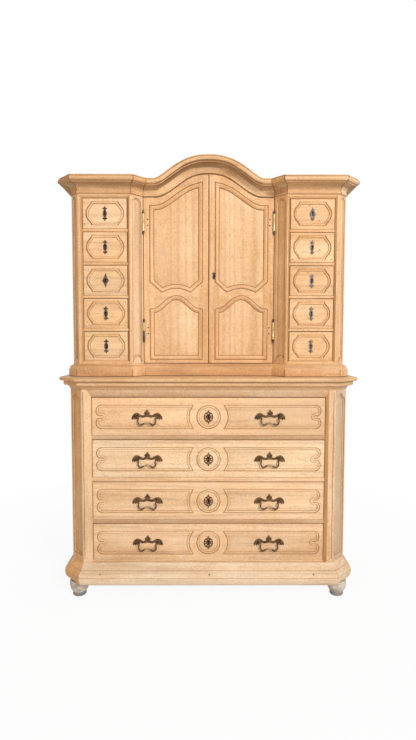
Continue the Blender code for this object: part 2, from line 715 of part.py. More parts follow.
def build_hinge(name, sign, centre):
    """Case half of a hinge: lower barrel with a finial, its pin, and a blade on the tower's post."""
    low, high = centre - HINGE_LENGTH / 2, centre + HINGE_LENGTH / 2
    profile = [(HINGE_RADIUS * 0.3, low - HINGE_FINIAL), (HINGE_RADIUS * 0.6, low - HINGE_FINIAL * 0.6)]
    profile += [(HINGE_RADIUS * 0.5, low), (HINGE_RADIUS, low), (HINGE_RADIUS, centre)]
    profile += [(HINGE_PIN_RADIUS, centre), (HINGE_PIN_RADIUS, high)]
    hinge = turned(name, profile, (sign * HINGE_X, HINGE_Y), 12)
    outer = CUPBOARD_HALF - SEAT_GAP
    xs = sorted((sign * outer, sign * (outer - HINGE_BLADE)))
    inset = HINGE_FINIAL / 4
    blade_low = (xs[0], HINGE_Y, low + inset)
    blade_high = (xs[1], HINGE_Y + HINGE_BLADE_DEPTH, centre - inset)
    blade = block(f"{name}_blade_tool", blade_low, blade_high)
    combine(hinge, blade, "UNION")
    dress(hinge, BRASS)


def build_small_drawer(side, sign, index):
    """A small drawer: front, sides, back and bottom of one glued box."""
    seat, ceiling = small_opening(index)
    foot = seat + SEAT_GAP
    front = TOWER_FRONT + SMALL_FRONT_SETBACK
    inside = front + SMALL_FRONT_THICKNESS
    rear = WALL_BACK - SMALL_REAR_ROOM
    height = foot + SMALL_BOX_HEIGHT
    top = ceiling - DRAWER_TOP_GAP
    outline = [(front, foot), (rear, foot), (rear, height), (inside, height), (inside, top), (front, top)]
    xs = sorted((sign * (SMALL_INNER + DRAWER_SIDE_GAP), sign * (SMALL_OUTER - DRAWER_SIDE_GAP)))
    slide = axis_empty(f"{side}_drawer_{index}_axis", ((xs[0] + xs[1]) / 2, front, foot))
    drawer = prism(f"{side}_drawer_{index}", outline, "X", xs[0], xs[1])
    low = (xs[0] + DRAWER_WALL, inside, foot + DRAWER_BOTTOM)
    high = (xs[1] - DRAWER_WALL, rear - DRAWER_WALL, ceiling)
    combine(drawer, block(f"{side}_drawer_{index}_cutter", low, high), "DIFFERENCE")
    dress(drawer, UPPER_OAK, slide)


def build_long_drawer(index):
    """A long drawer: its front with the posts of two pulls, its box, and the two bails."""
    seat, ceiling = long_opening(index)
    foot = seat + SEAT_GAP
    half = LONG_OPENING_WIDTH / 2 - DRAWER_SIDE_GAP
    face = BASE_FRONT + LONG_FRONT_SETBACK
    inside = face + LONG_FRONT_THICKNESS
    top = ceiling - DRAWER_TOP_GAP
    slide = axis_empty(f"long_drawer_{index}_axis", (0, face, foot))
    front = block(f"long_drawer_{index}_front", (-half, face, foot), (half, inside, top))

    rear = WALL_BACK - LONG_REAR_ROOM
    box_low = (-half, inside + SEAT_GAP, foot)
    box = block(f"long_drawer_{index}_box", box_low, (half, rear, foot + LONG_BOX_HEIGHT))
    low = (-half + DRAWER_WALL, face, foot + DRAWER_BOTTOM)
    high = (half - DRAWER_WALL, rear - DRAWER_WALL, ceiling)
    combine(box, block(f"long_drawer_{index}_cutter", low, high), "DIFFERENCE")
    dress(box, INNER_OAK, slide)

    axle_y = face - POST_REACH
    axle_z = (seat + ceiling) / 2 + PULL_RISE
    bore = BAIL_ROD_RADIUS + PIVOT_GAP
    posts, bores = [], bmesh.new()
    for side, sign in SIDES.items():
        centre = sign * PULL_SPACING / 2
        for end in SIDES.values():
            start = centre + end * (BAIL_WIDTH / 2)
            xs = sorted((start, start + end * POST_WIDTH))
            reach = axle_y - POST_HEIGHT / 2
            post_low = (xs[0], reach, axle_z - POST_HEIGHT / 2)
            posts.append((post_low, (xs[1], face + LONG_FRONT_THICKNESS / 2, axle_z + POST_HEIGHT / 2)))
            round_hole = arc((axle_y, axle_z), bore, bore, 0, 360, 12)[:-1]
            margin = POST_WIDTH / 2
            add_rings(bores, [[(x, y, z) for y, z in round_hole] for x in (xs[0] - margin, xs[1] + margin)])
        build_bail(f"bail_{index}_{side}", (centre, axle_y, axle_z), slide)
    combine(front, blocks(f"long_drawer_{index}_post_tool", posts), "UNION")
    combine(front, link(f"long_drawer_{index}_bore_cutter", bores), "DIFFERENCE")
    dress(front, CHEST_OAK, slide)


def build_bail(name, axle, slide):
    """A swinging bail: a rod with its ends in the two posts and a drooping loop between them."""
    hinge = axis_empty(f"{name}_axis", [a - b for a, b in zip(axle, slide.location)])
    hinge.parent = slide
    curve = bpy.data.curves.new(name, "CURVE")
    curve.dimensions = "3D"
    curve.bevel_depth = BAIL_ROD_RADIUS
    curve.bevel_resolution = 1
    curve.use_fill_caps = True
    half, bend = BAIL_WIDTH / 2, 2 * BAIL_ROD_RADIUS
    loop = [(half + POST_WIDTH, 0), (half - bend * 0.2, 0)]
    steps = 12
    for i in range(steps + 1):
        angle = math.pi * i / steps
        across, down = math.cos(angle), math.sin(angle)
        u = math.copysign(abs(across) ** 0.7, across) * (half - bend)
        loop.append((u, -bend * 0.6 - (BAIL_DROP - bend * 0.6) * down ** 0.8))
    loop += [(-half + bend * 0.2, 0), (-half - POST_WIDTH, 0)]
    spline = curve.splines.new("POLY")
    spline.points.add(len(loop) - 1)
    for point, (u, v) in zip(spline.points, loop):
        point.co = (u, 0, v, 1)
    bail = bpy.data.objects.new(name, curve)
    bpy.context.scene.collection.objects.link(bail)
    dress(bail, BRONZE)
    bail.parent = hinge


def main():
    for obj in list(bpy.data.objects):
        bpy.data.objects.remove(obj, do_unlink=True)
    build_feet()
    build_base_plinth()
    build_base_case()
    build_base_top()
    build_upper_plinth()
    for side, sign in SIDES.items():
        build_tower(side, sign)
        build_door(side, sign)
        for index in range(1, SMALL_DRAWERS + 1):
            build_small_drawer(side, sign, index)
    build_upper_middle()
    build_cornice()
    for index in range(1, LONG_DRAWERS + 1):
        build_long_drawer(index)


main()
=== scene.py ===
import json
import math

import bmesh
import bpy
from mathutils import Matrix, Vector


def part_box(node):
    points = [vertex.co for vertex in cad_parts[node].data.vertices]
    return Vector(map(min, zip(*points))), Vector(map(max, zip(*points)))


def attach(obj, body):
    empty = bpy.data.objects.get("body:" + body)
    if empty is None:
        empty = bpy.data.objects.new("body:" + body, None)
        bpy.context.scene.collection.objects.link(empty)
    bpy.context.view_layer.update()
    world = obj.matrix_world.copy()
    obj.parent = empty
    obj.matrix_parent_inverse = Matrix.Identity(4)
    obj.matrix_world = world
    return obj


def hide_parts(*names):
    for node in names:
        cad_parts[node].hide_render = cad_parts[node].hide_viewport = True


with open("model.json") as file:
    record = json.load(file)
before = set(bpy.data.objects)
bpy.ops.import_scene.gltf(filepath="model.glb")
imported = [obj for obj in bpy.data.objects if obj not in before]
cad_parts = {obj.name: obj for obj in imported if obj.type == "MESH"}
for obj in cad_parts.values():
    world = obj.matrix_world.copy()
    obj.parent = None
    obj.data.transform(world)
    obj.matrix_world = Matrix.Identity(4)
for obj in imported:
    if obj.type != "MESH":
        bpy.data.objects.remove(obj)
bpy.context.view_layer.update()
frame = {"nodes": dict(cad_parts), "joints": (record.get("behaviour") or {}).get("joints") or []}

SIDES = {"left": -1, "right": 1}
LONG_DRAWERS = range(1, 5)
SMALL_DRAWERS = range(1, 6)
CABINET = "cabinet"
FORWARDS, BACKWARDS = (0, -1, 0), (0, 1, 0)

# Fine sizes of the work, in metres
MM = 0.001
EASE = 0.0015
SOFT_EASE = 0.0025
SMOOTH = math.radians(38)
MERGE = 1e-5
LONG_RUN = 0.1


# Working in edit mode

def alone(obj):
    """Makes obj the one selected object, in object mode."""
    if bpy.context.object and bpy.context.object.mode != "OBJECT":
        bpy.ops.object.mode_set(mode="OBJECT")
    bpy.ops.object.select_all(action="DESELECT")
    obj.select_set(True)
    bpy.context.view_layer.objects.active = obj


def edit(obj, mode="FACE", start="DESELECT"):
    """Opens obj in edit mode with nothing selected, or all of it, and returns its mesh."""
    alone(obj)
    bpy.ops.object.mode_set(mode="EDIT")
    bpy.ops.mesh.select_mode(type=mode)
    bpy.ops.mesh.select_all(action=start)
    return bmesh.from_edit_mesh(obj.data)


def edit_all(obj, mode="FACE"):
    """Opens obj in edit mode with all of it selected."""
    return edit(obj, mode, "SELECT")


def close(obj):
    """Turns all faces outwards, leaves edit mode and shades the curves smooth."""
    bpy.ops.mesh.select_all(action="SELECT")
    bpy.ops.mesh.normals_make_consistent(inside=False)
    bpy.ops.object.mode_set(mode="OBJECT")
    bpy.ops.object.shade_smooth_by_angle(angle=SMOOTH)
    return obj


def settle(obj, name):
    """Names a new object and puts its place into its mesh."""
    alone(obj)
    bpy.ops.object.transform_apply(location=True, rotation=True, scale=True)
    obj.name = obj.data.name = name
    return obj


def linked(name, data):
    """A new object in the scene."""
    obj = bpy.data.objects.new(name, data)
    bpy.context.scene.collection.objects.link(obj)
    return obj


def carry(obj, body, *nodes, slot):
    """Lets a piece ride on a body, in place of its CAD nodes; the slot is not used."""
    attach(obj, body)
    if nodes:
        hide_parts(*nodes)


# Outlines

def arc(centre, radius_u, radius_v, start, end, steps):
    """Points on part of an ellipse, between two angles in degrees, both ends included."""
    angles = [math.radians(start + (end - start) * i / steps) for i in range(steps + 1)]
    return [(centre[0] + radius_u * math.cos(a), centre[1] + radius_v * math.sin(a)) for a in angles]


def swell(share):
    """A smooth ogee swell: 1 at the middle, falling to 0 at a share of -1 or 1."""
    return 0.5 + 0.5 * math.cos(math.pi * share)


def both_sides(right, *middle):
    """A line from its right half, by way of any points on the middle line, to its left half."""
    return right + list(middle) + [(-u, *rest) for u, *rest in reversed(right)]


def turned_left(outline, sign=1):
    """An outline, or its mirror image for a sign of -1, running anticlockwise."""
    outline = [(sign * u, v) for u, v in outline]
    pairs = zip(outline, outline[1:] + outline[:1])
    area = sum(a[0] * b[1] - b[0] * a[1] for a, b in pairs)
    return outline if area > 0 else outline[::-1]


def grown(outline, distance):
    """An anticlockwise outline moved outwards by a distance, with mitred corners."""
    moved = []
    count = len(outline)
    for i in range(count):
        before, here, after = (Vector(outline[j % count]) for j in (i - 1, i, i + 1))
        first, second = (here - before).normalized(), (after - here).normalized()
        out = Vector((first.y + second.y, -first.x - second.x))
        moved.append(tuple(here + out * (2 * distance / max(out.length_squared, 0.4))))
    return moved


# Oak boards and carving

def polygon(name, points):
    """One flat face through points."""
    bpy.ops.object.select_all(action="DESELECT")
    bpy.ops.mesh.primitive_circle_add(vertices=len(points), fill_type="NGON")
    piece = settle(bpy.context.object, name)
    for vertex, point in zip(piece.data.vertices, points):
        vertex.co = point
    return piece


def eased(piece, width, angle):
    """Eases the edges of a piece that turn by more than an angle."""
    alone(piece)
    modifier = piece.modifiers.new("bevel", "BEVEL")
    modifier.width, modifier.segments = width, 2
    modifier.limit_method, modifier.angle_limit = "ANGLE", angle
    bpy.ops.object.modifier_apply(modifier=modifier.name)
    bpy.ops.object.shade_smooth_by_angle(angle=SMOOTH)
    return piece


def board(name, low, high, ease=EASE):
    """A squared board between two corners, with eased edges."""
    low, high = Vector(low), Vector(high)
    bpy.ops.object.select_all(action="DESELECT")
    bpy.ops.mesh.primitive_cube_add(size=1, location=(low + high) / 2, scale=high - low)
    piece = settle(bpy.context.object, name)
    edit_all(piece, "EDGE")
    bpy.ops.mesh.bevel(offset=ease, segments=2, affect="EDGES")
    return close(piece)


def sawn(name, outline, axis, start, end, ease=EASE):
    """A board sawn to an outline and run along an axis, with eased edges.

    The outline is in Y and Z for a run along X, in X and Z along Y, and in X and Y along Z.
    """
    at = "XYZ".index(axis)
    piece = polygon(name, [point[:at] + (start,) + point[at:] for point in outline])
    edit_all(piece)
    run = [end - start if letter == axis else 0 for letter in "XYZ"]
    bpy.ops.mesh.extrude_region_move(TRANSFORM_OT_translate={"value": run})
    return eased(close(piece), ease, math.radians(20))


def trimmed(piece, point, normal):
    """Saws a piece off along a plane, on the side that the normal points to, and closes the cut."""
    edit_all(piece)
    bpy.ops.mesh.bisect(plane_co=point, plane_no=normal, clear_outer=True, use_fill=True)
    return close(piece)


def split_across(piece, places):
    """Cuts the faces of a piece at places along X."""
    edit(piece)
    for x in places:
        bpy.ops.mesh.select_all(action="SELECT")
        bpy.ops.mesh.bisect(plane_co=(x, 0, 0), plane_no=(1, 0, 0))
    bpy.ops.object.mode_set(mode="OBJECT")
    bpy.ops.object.shade_smooth_by_angle(angle=SMOOTH)


def stain_field(piece, facing, finish):
    """Planes the selected field of a carving flat and gives it its finish."""
    mesh = bmesh.from_edit_mesh(piece.data)
    for face in mesh.faces:
        if face.select:
            face.material_index = finish
            level = sum(v.co.dot(facing) for v in face.verts) / len(face.verts)
            for vertex in face.verts:
                vertex.co += facing * (level - vertex.co.dot(facing))
    bmesh.update_edit_mesh(piece.data)


def carve_into(piece, facing, place, carvings):
    """Cuts outlines into the largest face that looks along facing, and shapes the inside of each.

    A carving is an outline in the face's own two directions, steps of width, rise and finish that
    make its moulding from the outline inwards, and the finish of the field that is left. A finish is
    a number in the piece's own list. Place turns the two directions into a point.
    """
    mesh = edit(piece)
    facing = Vector(facing)
    seen = [f for f in mesh.faces if f.normal.dot(facing) > 0.99]
    max(seen, key=lambda f: f.calc_area()).select_set(True)
    bpy.ops.mesh.delete(type="ONLY_FACE")
    for outline, _, _ in carvings:
        bpy.ops.mesh.select_all(action="DESELECT")
        bpy.ops.mesh.primitive_circle_add(vertices=len(outline), fill_type="NGON")
        mesh = bmesh.from_edit_mesh(piece.data)
        for vertex, (u, v) in zip([v for v in mesh.verts if v.select], outline):
            vertex.co = place(u, v)
        bmesh.update_edit_mesh(piece.data)
    bpy.ops.mesh.select_mode(type="EDGE")
    bpy.ops.mesh.select_all(action="DESELECT")
    mesh = bmesh.from_edit_mesh(piece.data)
    for edge in mesh.edges:
        edge.select_set(edge.is_boundary)
    bmesh.update_edit_mesh(piece.data)
    bpy.ops.mesh.fill(use_beauty=True)
    bpy.ops.mesh.select_mode(type="FACE")
    for outline, steps, field_finish in carvings:
        bpy.ops.mesh.select_all(action="DESELECT")
        mesh = bmesh.from_edit_mesh(piece.data)
        start = Vector(place(*outline[0]))
        whole = [f for f in mesh.faces if len(f.verts) == len(outline)]
        field = min(whole, key=lambda f: min((v.co - start).length for v in f.verts))
        field.normal_update()
        if field.normal.dot(facing) < 0:
            field.normal_flip()
        field.select_set(True)
        bmesh.update_edit_mesh(piece.data)
        for width, rise, finish in steps:
            stain_field(piece, facing, finish)
            bpy.ops.mesh.inset(thickness=width, depth=rise, use_even_offset=True)
        stain_field(piece, facing, field_finish)
    return close(piece)


def depth_of(carving):
    """How far a carving's field lies below the face."""
    return -sum(rise for _, rise, _ in carving)


def soften_runs(piece, groove, soft):
    """Gives the long straight runs of a carving a paler groove than its curves."""
    for face in piece.data.polygons:
        across = [piece.data.vertices[i].co.x for i in face.vertices]
        if face.material_index == groove and max(across) - min(across) > LONG_RUN:
            face.material_index = soft


def refined(node, name, ease=EASE):
    """A copy of a CAD node with merged faces, eased edges and smooth curves."""
    piece = linked(name, frame["nodes"][node].data.copy())
    piece.data.materials.clear()
    edit_all(piece)
    bpy.ops.mesh.remove_doubles(threshold=MERGE)
    bpy.ops.mesh.dissolve_limited(angle_limit=math.radians(0.5))
    close(piece)
    return eased(piece, ease, SMOOTH) if ease else piece


def paint(piece, finishes, choose=None):
    """Gives a piece its finishes; choose picks one, by centre and normal, for each face left plain so far."""
    for made in finishes:
        piece.data.materials.append(made)
    if choose:
        for face in piece.data.polygons:
            if face.material_index == 0:
                face.material_index = choose(face.center, face.normal)
    return piece


# Mouldings run round the case

def swept(name, rings):
    """A moulding drawn through rings of points, closed at both ends."""
    piece = polygon(name, rings[0])
    edit_all(piece)
    for before, after in zip(rings, rings[1:]):
        bpy.ops.mesh.extrude_region_move(TRANSFORM_OT_translate={"value": (0, 0, 0)})
        mesh = bmesh.from_edit_mesh(piece.data)
        for vertex in [v for v in mesh.verts if v.select]:
            nearest = min(range(len(before)), key=lambda i: (Vector(before[i]) - vertex.co).length_squared)
            vertex.co = after[nearest]
        bmesh.update_edit_mesh(piece.data)
    return close(piece)


def corner_rings(profile, path, level):
    """Rings of a moulding at the corners of a path in plan, mitred; the path has the case on its left."""
    sides = [(Vector(b) - Vector(a)).normalized() for a, b in zip(path, path[1:])]
    outwards = [Vector((-side.y, side.x)) for side in sides]
    rings = []
    for number, corner in enumerate(path):
        first = outwards[max(number - 1, 0)]
        second = outwards[min(number, len(outwards) - 1)]
        mitre = (first + second) / (1 + first.dot(second))
        rings.append([(corner[0] + mitre.x * out, corner[1] + mitre.y * out, level + up) for out, up in profile])
    return rings


# Turned pieces, plates and rods

def turned(name, profile, centre, steps, axis="Z"):
    """A turned piece from radius and length pairs, along Z or forwards along -Y, from a centre."""
    (radius, level), rest = profile[0], profile[1:]
    bpy.ops.object.select_all(action="DESELECT")
    bpy.ops.mesh.primitive_circle_add(vertices=steps, radius=radius, fill_type="NGON")
    piece = bpy.context.object
    edit_all(piece)
    bpy.ops.transform.translate(value=(0, 0, level))
    for next_radius, next_level in rest:
        bpy.ops.mesh.extrude_region_move(TRANSFORM_OT_translate={"value": (0, 0, next_level - level)})
        ratio = next_radius / radius
        bpy.ops.transform.resize(value=(ratio, ratio, 1), center_override=(0, 0, next_level))
        radius, level = next_radius, next_level
    close(piece)
    piece.rotation_euler = (math.pi / 2, 0, 0) if axis == "Y" else (0, 0, 0)
    piece.location = centre
    return settle(piece, name)


def new_curve(name, dimensions, radius, rounding, lines, cyclic):
    """A curve with a round edge, through lines of points that each have a share of the radius and a kind."""
    curve = bpy.data.curves.new(name, "CURVE")
    curve.dimensions = dimensions
    curve.bevel_depth = radius
    curve.bevel_resolution = rounding
    curve.resolution_u = 5
    for line in lines:
        spline = curve.splines.new("BEZIER")
        spline.bezier_points.add(len(line) - 1)
        spline.use_cyclic_u = cyclic
        for point, (place, share, kind) in zip(spline.bezier_points, line):
            point.co, point.radius = place, share
            point.handle_left_type = point.handle_right_type = kind
    return curve


def drawn(name, curve, place, tilt=0):
    """A piece from a curve, tilted back and put in its place."""
    piece = linked(name, curve)
    piece.rotation_euler = (tilt, 0, 0)
    piece.location = place
    alone(piece)
    bpy.ops.object.convert(target="MESH")
    settle(piece, name)
    edit_all(piece)
    bpy.ops.mesh.remove_doubles(threshold=MERGE)
    return close(piece)


def plate(name, outlines, thickness, ease, centre):
    """A thin plate that faces forwards, from smooth outlines: the first is its edge, the rest are holes."""
    lines = [[((u, v, 0), 1, kind) for u, v, kind in outline] for outline in outlines]
    curve = new_curve(name, "2D", ease, 1, lines, True)
    curve.fill_mode = "BOTH"
    curve.extrude = thickness / 2 - ease
    return drawn(name, curve, Vector(centre) - Vector((0, thickness / 2, 0)), math.pi / 2)


def rod(name, points, radius, centre=(0, 0, 0)):
    """A round rod with closed ends along a smooth line of points, each with its share of the radius."""
    curve = new_curve(name, "3D", radius, 3, [[(point[:3], point[3], "AUTO") for point in points]], False)
    curve.use_fill_caps = True
    return drawn(name, curve, centre)


def joined(name, pieces):
    """Several shapes as one piece."""
    alone(pieces[0])
    for piece in pieces[1:]:
        piece.select_set(True)
    bpy.ops.object.join()
    pieces[0].name = pieces[0].data.name = name
    return pieces[0]


# Finishes

class Value:
    """A shader socket that can stand in a sum: an expression on it adds its Math nodes."""

    def __init__(self, nodes, socket):
        self.nodes = nodes
        self.socket = socket

    def sum(self, operation, *values):
        return self.nodes.node("ShaderNodeMath", {"operation": operation}, dict(enumerate(values)))

    def __add__(self, other):
        return self.sum("ADD", self, other)

    def __radd__(self, other):
        return self.sum("ADD", other, self)

    def __sub__(self, other):
        return self.sum("SUBTRACT", self, other)

    def __rsub__(self, other):
        return self.sum("SUBTRACT", other, self)

    def __mul__(self, other):
        return self.sum("MULTIPLY", self, other)

    def __rmul__(self, other):
        return self.sum("MULTIPLY", other, self)

    def __pow__(self, other):
        return self.sum("POWER", self, other)

    def __gt__(self, other):
        return self.sum("GREATER_THAN", self, other)

    def __lt__(self, other):
        return self.sum("LESS_THAN", self, other)

    def wave(self):
        return self.sum("SINE", self) * 0.5 + 0.5


class Nodes:
    """The shader nodes of a material or the world, from its first shader to its end."""

    def __init__(self, owner, shader, end):
        owner.use_nodes = True
        self.tree = owner.node_tree
        self.shader = self.tree.nodes[shader]
        self.end = self.tree.nodes[end]

    def feed(self, socket, value):
        if isinstance(value, Value):
            self.tree.links.new(value.socket, socket)
        else:
            socket.default_value = value

    def node(self, kind, settings=None, sockets=None, output=0):
        made = self.tree.nodes.new(kind)
        for key, value in (settings or {}).items():
            setattr(made, key, value)
        for key, value in (sockets or {}).items():
            self.feed(made.inputs[key], value)
        return Value(self, made.outputs[output])

    def cover(self, shader, factor):
        """Lays another shader over the first one, by a factor."""
        first = Value(self, self.shader.outputs[0])
        self.feed(self.end.inputs["Surface"], self.node("ShaderNodeMixShader", None, {0: factor, 1: first, 2: shader}))


class Finish(Nodes):
    """A material in the making."""

    def __init__(self, name):
        self.material = bpy.data.materials.new(name)
        super().__init__(self.material, "Principled BSDF", "Material Output")

    def place(self, shift):
        here = self.node("ShaderNodeTexCoord", output="Object")
        return self.node("ShaderNodeVectorMath", {"operation": "ADD"}, {0: here, 1: shift})

    def stretch(self, place, scale):
        return self.node("ShaderNodeVectorMath", {"operation": "MULTIPLY"}, {0: place, 1: scale})

    def noise(self, place, scale, detail, rough):
        sockets = {"Vector": place, "Scale": scale, "Detail": detail, "Roughness": rough}
        return self.node("ShaderNodeTexNoise", None, sockets)

    def ramp(self, value, low, high):
        sockets = {"Value": value, "From Min": low, "From Max": high}
        return self.node("ShaderNodeMapRange", {"clamp": True}, sockets)

    def mix(self, first, second, factor):
        return self.node("ShaderNodeMix", {"data_type": "RGBA"}, {0: factor, 6: first, 7: second}, output=2)

    def bump(self, height, distance, strength):
        made = self.node("ShaderNodeBump", None, {"Height": height, "Distance": distance, "Strength": strength})
        self.feed(self.shader.inputs["Normal"], made)

    def set(self, **values):
        names = {"colour": "Base Color", "roughness": "Roughness", "metallic": "Metallic"}
        for key, value in values.items():
            self.feed(self.shader.inputs[names[key]], value)
        return self.material


GRAIN = {"X": (0.045, 1, 1), "Y": (1, 0.045, 1), "Z": (1, 1, 0.045)}
PORE_BROWN = (0.30, 0.125, 0.040, 1)
LIME_GREY = (0.84, 0.70, 0.52, 1)
HOLE_BROWN = (0.035, 0.018, 0.010, 1)
DULL_OAK = (0.60, 0.385, 0.215, 1)
PALE_FLECK = (0.93, 0.76, 0.55, 1)
STAIN_BROWN = (0.33, 0.17, 0.07, 1)
OAK_ROUGHNESS = 0.60
RUB_SCALE, PIT_SCALE = 70, 420


def oak(name, light, deep, grain, seed, lime=0.25, holes=0.93, pale=0.36, dull=0.0):
    """Old bleached oak: flat-sawn figure, streaks, pores and flecks, pale limed patches, stains and wormholes."""
    finish = Finish(name)
    place = finish.place((seed * 1.7, seed * 0.9, seed * 2.3))
    along = finish.stretch(place, GRAIN[grain])
    broad = finish.noise(along, 7, 3, 0.55)
    streak = finish.noise(along, 55, 4, 0.65)
    pores = finish.noise(finish.stretch(along, (1.6, 1.6, 1.6)), 240, 2, 0.6)
    fleck = finish.noise(place, 130, 3, 0.7)
    patch = finish.noise(place, 4.5, 4, 0.62)
    stain = finish.noise(place, 9, 4, 0.7)
    figure = (finish.noise(along, 3.4, 2.0, 0.45) * 120).wave() ** 3

    tone = finish.ramp(broad * 0.6 + patch * 0.4, 0.38, 0.60)
    colour = finish.mix(deep + (1,), light + (1,), tone)
    colour = finish.mix(colour, LIME_GREY, finish.ramp(patch * 0.6 + streak * 0.4, 0.50, 0.66) * lime)
    colour = finish.mix(colour, PORE_BROWN, figure * 0.20 + finish.ramp(streak, 0.54, 0.72) * 0.30)
    pore = finish.ramp(pores, 0.56, 0.68)
    colour = finish.mix(colour, PORE_BROWN, pore * 0.32 + finish.ramp(fleck, 0.55, 0.72) * 0.36)
    colour = finish.mix(colour, PALE_FLECK, finish.ramp(fleck, 0.46, 0.30) * pale)
    colour = finish.mix(colour, STAIN_BROWN, finish.ramp(stain, 0.62, 0.78) * 0.35)
    if dull:
        across = finish.node("ShaderNodeSeparateXYZ", None, {0: finish.place((0, 0, 0))}, output="X")
        colour = finish.mix(colour, DULL_OAK, finish.ramp(across + 0.1 * patch, 0.05, 0.42) * dull)
    cells = {"Vector": place, "Scale": 15.0}
    near = finish.node("ShaderNodeTexVoronoi", {"feature": "F1"}, cells)
    tint = finish.node("ShaderNodeTexVoronoi", {"feature": "F1"}, cells, output="Color")
    lucky = finish.node("ShaderNodeSeparateColor", None, {0: tint})
    hole = (near < 0.034) * (lucky > holes)
    colour = finish.mix(colour, HOLE_BROWN, hole * 0.9)
    finish.bump(streak * 0.6 - pore * 0.5 + fleck * 0.3 - hole * 2, 0.0009, 0.4)
    return finish.set(colour=colour, roughness=OAK_ROUGHNESS + 0.12 * patch - 0.08 * tone)


def worn_wood(name):
    """Whitened, scuffed wood of a foot, with a tip that turns dark bluish grey towards the bottom."""
    finish = Finish(name)
    place = finish.place((3.1, 0.4, 0))
    streak = finish.noise(finish.stretch(place, (1, 1, 0.25)), 90, 4, 0.6)
    scuff = finish.noise(place, 26, 3, 0.6)
    height = finish.node("ShaderNodeSeparateXYZ", None, {0: place}, output="Z")
    colour = finish.mix((0.38, 0.295, 0.220, 1), (0.61, 0.530, 0.455, 1), finish.ramp(scuff, 0.36, 0.58))
    colour = finish.mix(colour, (0.20, 0.11, 0.07, 1), finish.ramp(streak, 0.60, 0.74) * 0.55)
    darker_tip = finish.ramp(height + 0.012 * scuff, 0.036, 0.018)
    colour = finish.mix(colour, (0.12, 0.135, 0.16, 1), darker_tip * 0.75)
    finish.bump(streak, 0.001, 0.4)
    return finish.set(colour=colour, roughness=0.66 + 0.15 * scuff)


def old_metal(name, bright, dark, shine, metallic):
    """Cast metal with patches rubbed bright and patches that keep a dark skin, mixed by noise."""
    finish = Finish(name)
    place = finish.place((0.7, 2.2, 0.3))
    rub = finish.noise(place, RUB_SCALE, 3, 0.6)
    pit = finish.noise(place, PIT_SCALE, 2, 0.5)
    share = finish.ramp(rub * 0.8 + pit * 0.2, 0.38, 0.62)
    colour = finish.mix(dark + (1,), bright + (1,), share)
    finish.bump(pit, 0.0005, 0.3)
    return finish.set(colour=colour, roughness=shine + 0.25 * (1 - share), metallic=metallic)


CHEST_LIGHT, CHEST_DEEP = (0.86, 0.585, 0.340), (0.73, 0.430, 0.205)
UPPER_LIGHT, UPPER_DEEP = (0.81, 0.485, 0.235), (0.65, 0.335, 0.135)
INNER_LIGHT, INNER_DEEP = (0.50, 0.33, 0.19), (0.33, 0.20, 0.105)
GROOVE_LIGHT, GROOVE_DEEP = (0.47, 0.245, 0.092), (0.32, 0.150, 0.052)

chest_upright = oak("chest_oak_upright", CHEST_LIGHT, CHEST_DEEP, "Z", 1.0)
chest_rail = oak("chest_oak_rail", CHEST_LIGHT, CHEST_DEEP, "X", 2.0)
chest_grey = oak("chest_oak_grey", (0.62, 0.375, 0.200), (0.48, 0.270, 0.125), "X", 2.3, lime=0.25)
chest_table = oak("chest_oak_top", (0.79, 0.500, 0.265), (0.65, 0.370, 0.165), "X", 2.1, lime=0.2)
chest_grey_cant = oak("chest_oak_grey_cant", (0.67, 0.490, 0.330), (0.56, 0.385, 0.235), "Z", 2.7, lime=0.35)
chest_deep = oak("chest_oak_deep", (0.81, 0.57, 0.35), (0.69, 0.44, 0.23), "Y", 2.5, lime=0.3)
chest_pale = oak("chest_oak_plinth", (0.81, 0.61, 0.410), (0.70, 0.475, 0.275), "X", 2.9, lime=0.35)
# Painted shade: a deeper orange oak for the chest's left-facing cants, which face away from the light
chest_shaded_cant = oak("chest_oak_painted_shade", (0.80, 0.435, 0.170), (0.64, 0.305, 0.105), "Z", 2.6)
upper_upright = oak("upper_oak_upright", UPPER_LIGHT, UPPER_DEEP, "Z", 3.0, lime=0.15)
upper_rail = oak("upper_oak_rail", UPPER_LIGHT, UPPER_DEEP, "X", 4.0, lime=0.15)
upper_deep = oak("upper_oak_deep", (0.78, 0.465, 0.225), (0.62, 0.325, 0.130), "Y", 4.6, lime=0.15)
upper_panel = oak("upper_oak_panel", (0.83, 0.515, 0.270), (0.71, 0.405, 0.185), "Z", 5.0, lime=0.30)
# Painted shade: a deeper orange oak for left-facing cants and slopes of the upper case
upper_shaded_cant = oak("upper_oak_painted_shade", (0.80, 0.455, 0.190), (0.63, 0.320, 0.115), "Z", 5.7, lime=0.12)
# Painted light: a paler oak for right-facing cants, which face the light
upper_lit_cant = oak("upper_oak_painted_light", (0.86, 0.600, 0.370), (0.74, 0.470, 0.260), "Z", 5.9, lime=0.35)
# Painted shade: a dark brown for the downward faces of the cornice over the arch
crown_under_shade = oak("upper_oak_painted_under_shade", (0.46, 0.265, 0.120), (0.20, 0.110, 0.052), "X", 6.3, lime=0.0, pale=0.1)
crown_oak = oak("upper_oak_cornice", (0.77, 0.465, 0.225), (0.59, 0.310, 0.125), "X", 6.0, lime=0.12)
upper_foot = oak("upper_oak_plinth", (0.72, 0.395, 0.175), (0.57, 0.285, 0.110), "X", 6.6, lime=0.12)
inner_oak = oak("inner_oak_x", INNER_LIGHT, INNER_DEEP, "X", 7.0, lime=0.1, pale=0.08)
inner_upright = oak("inner_oak_z", INNER_LIGHT, INNER_DEEP, "Z", 8.0, lime=0.1, pale=0.08)
inner_deep = oak("inner_oak_y", INNER_LIGHT, INNER_DEEP, "Y", 9.0, lime=0.1, pale=0.08)
groove_oak = oak("groove_oak", GROOVE_LIGHT, GROOVE_DEEP, "X", 10.0, lime=0.0, pale=0.1)
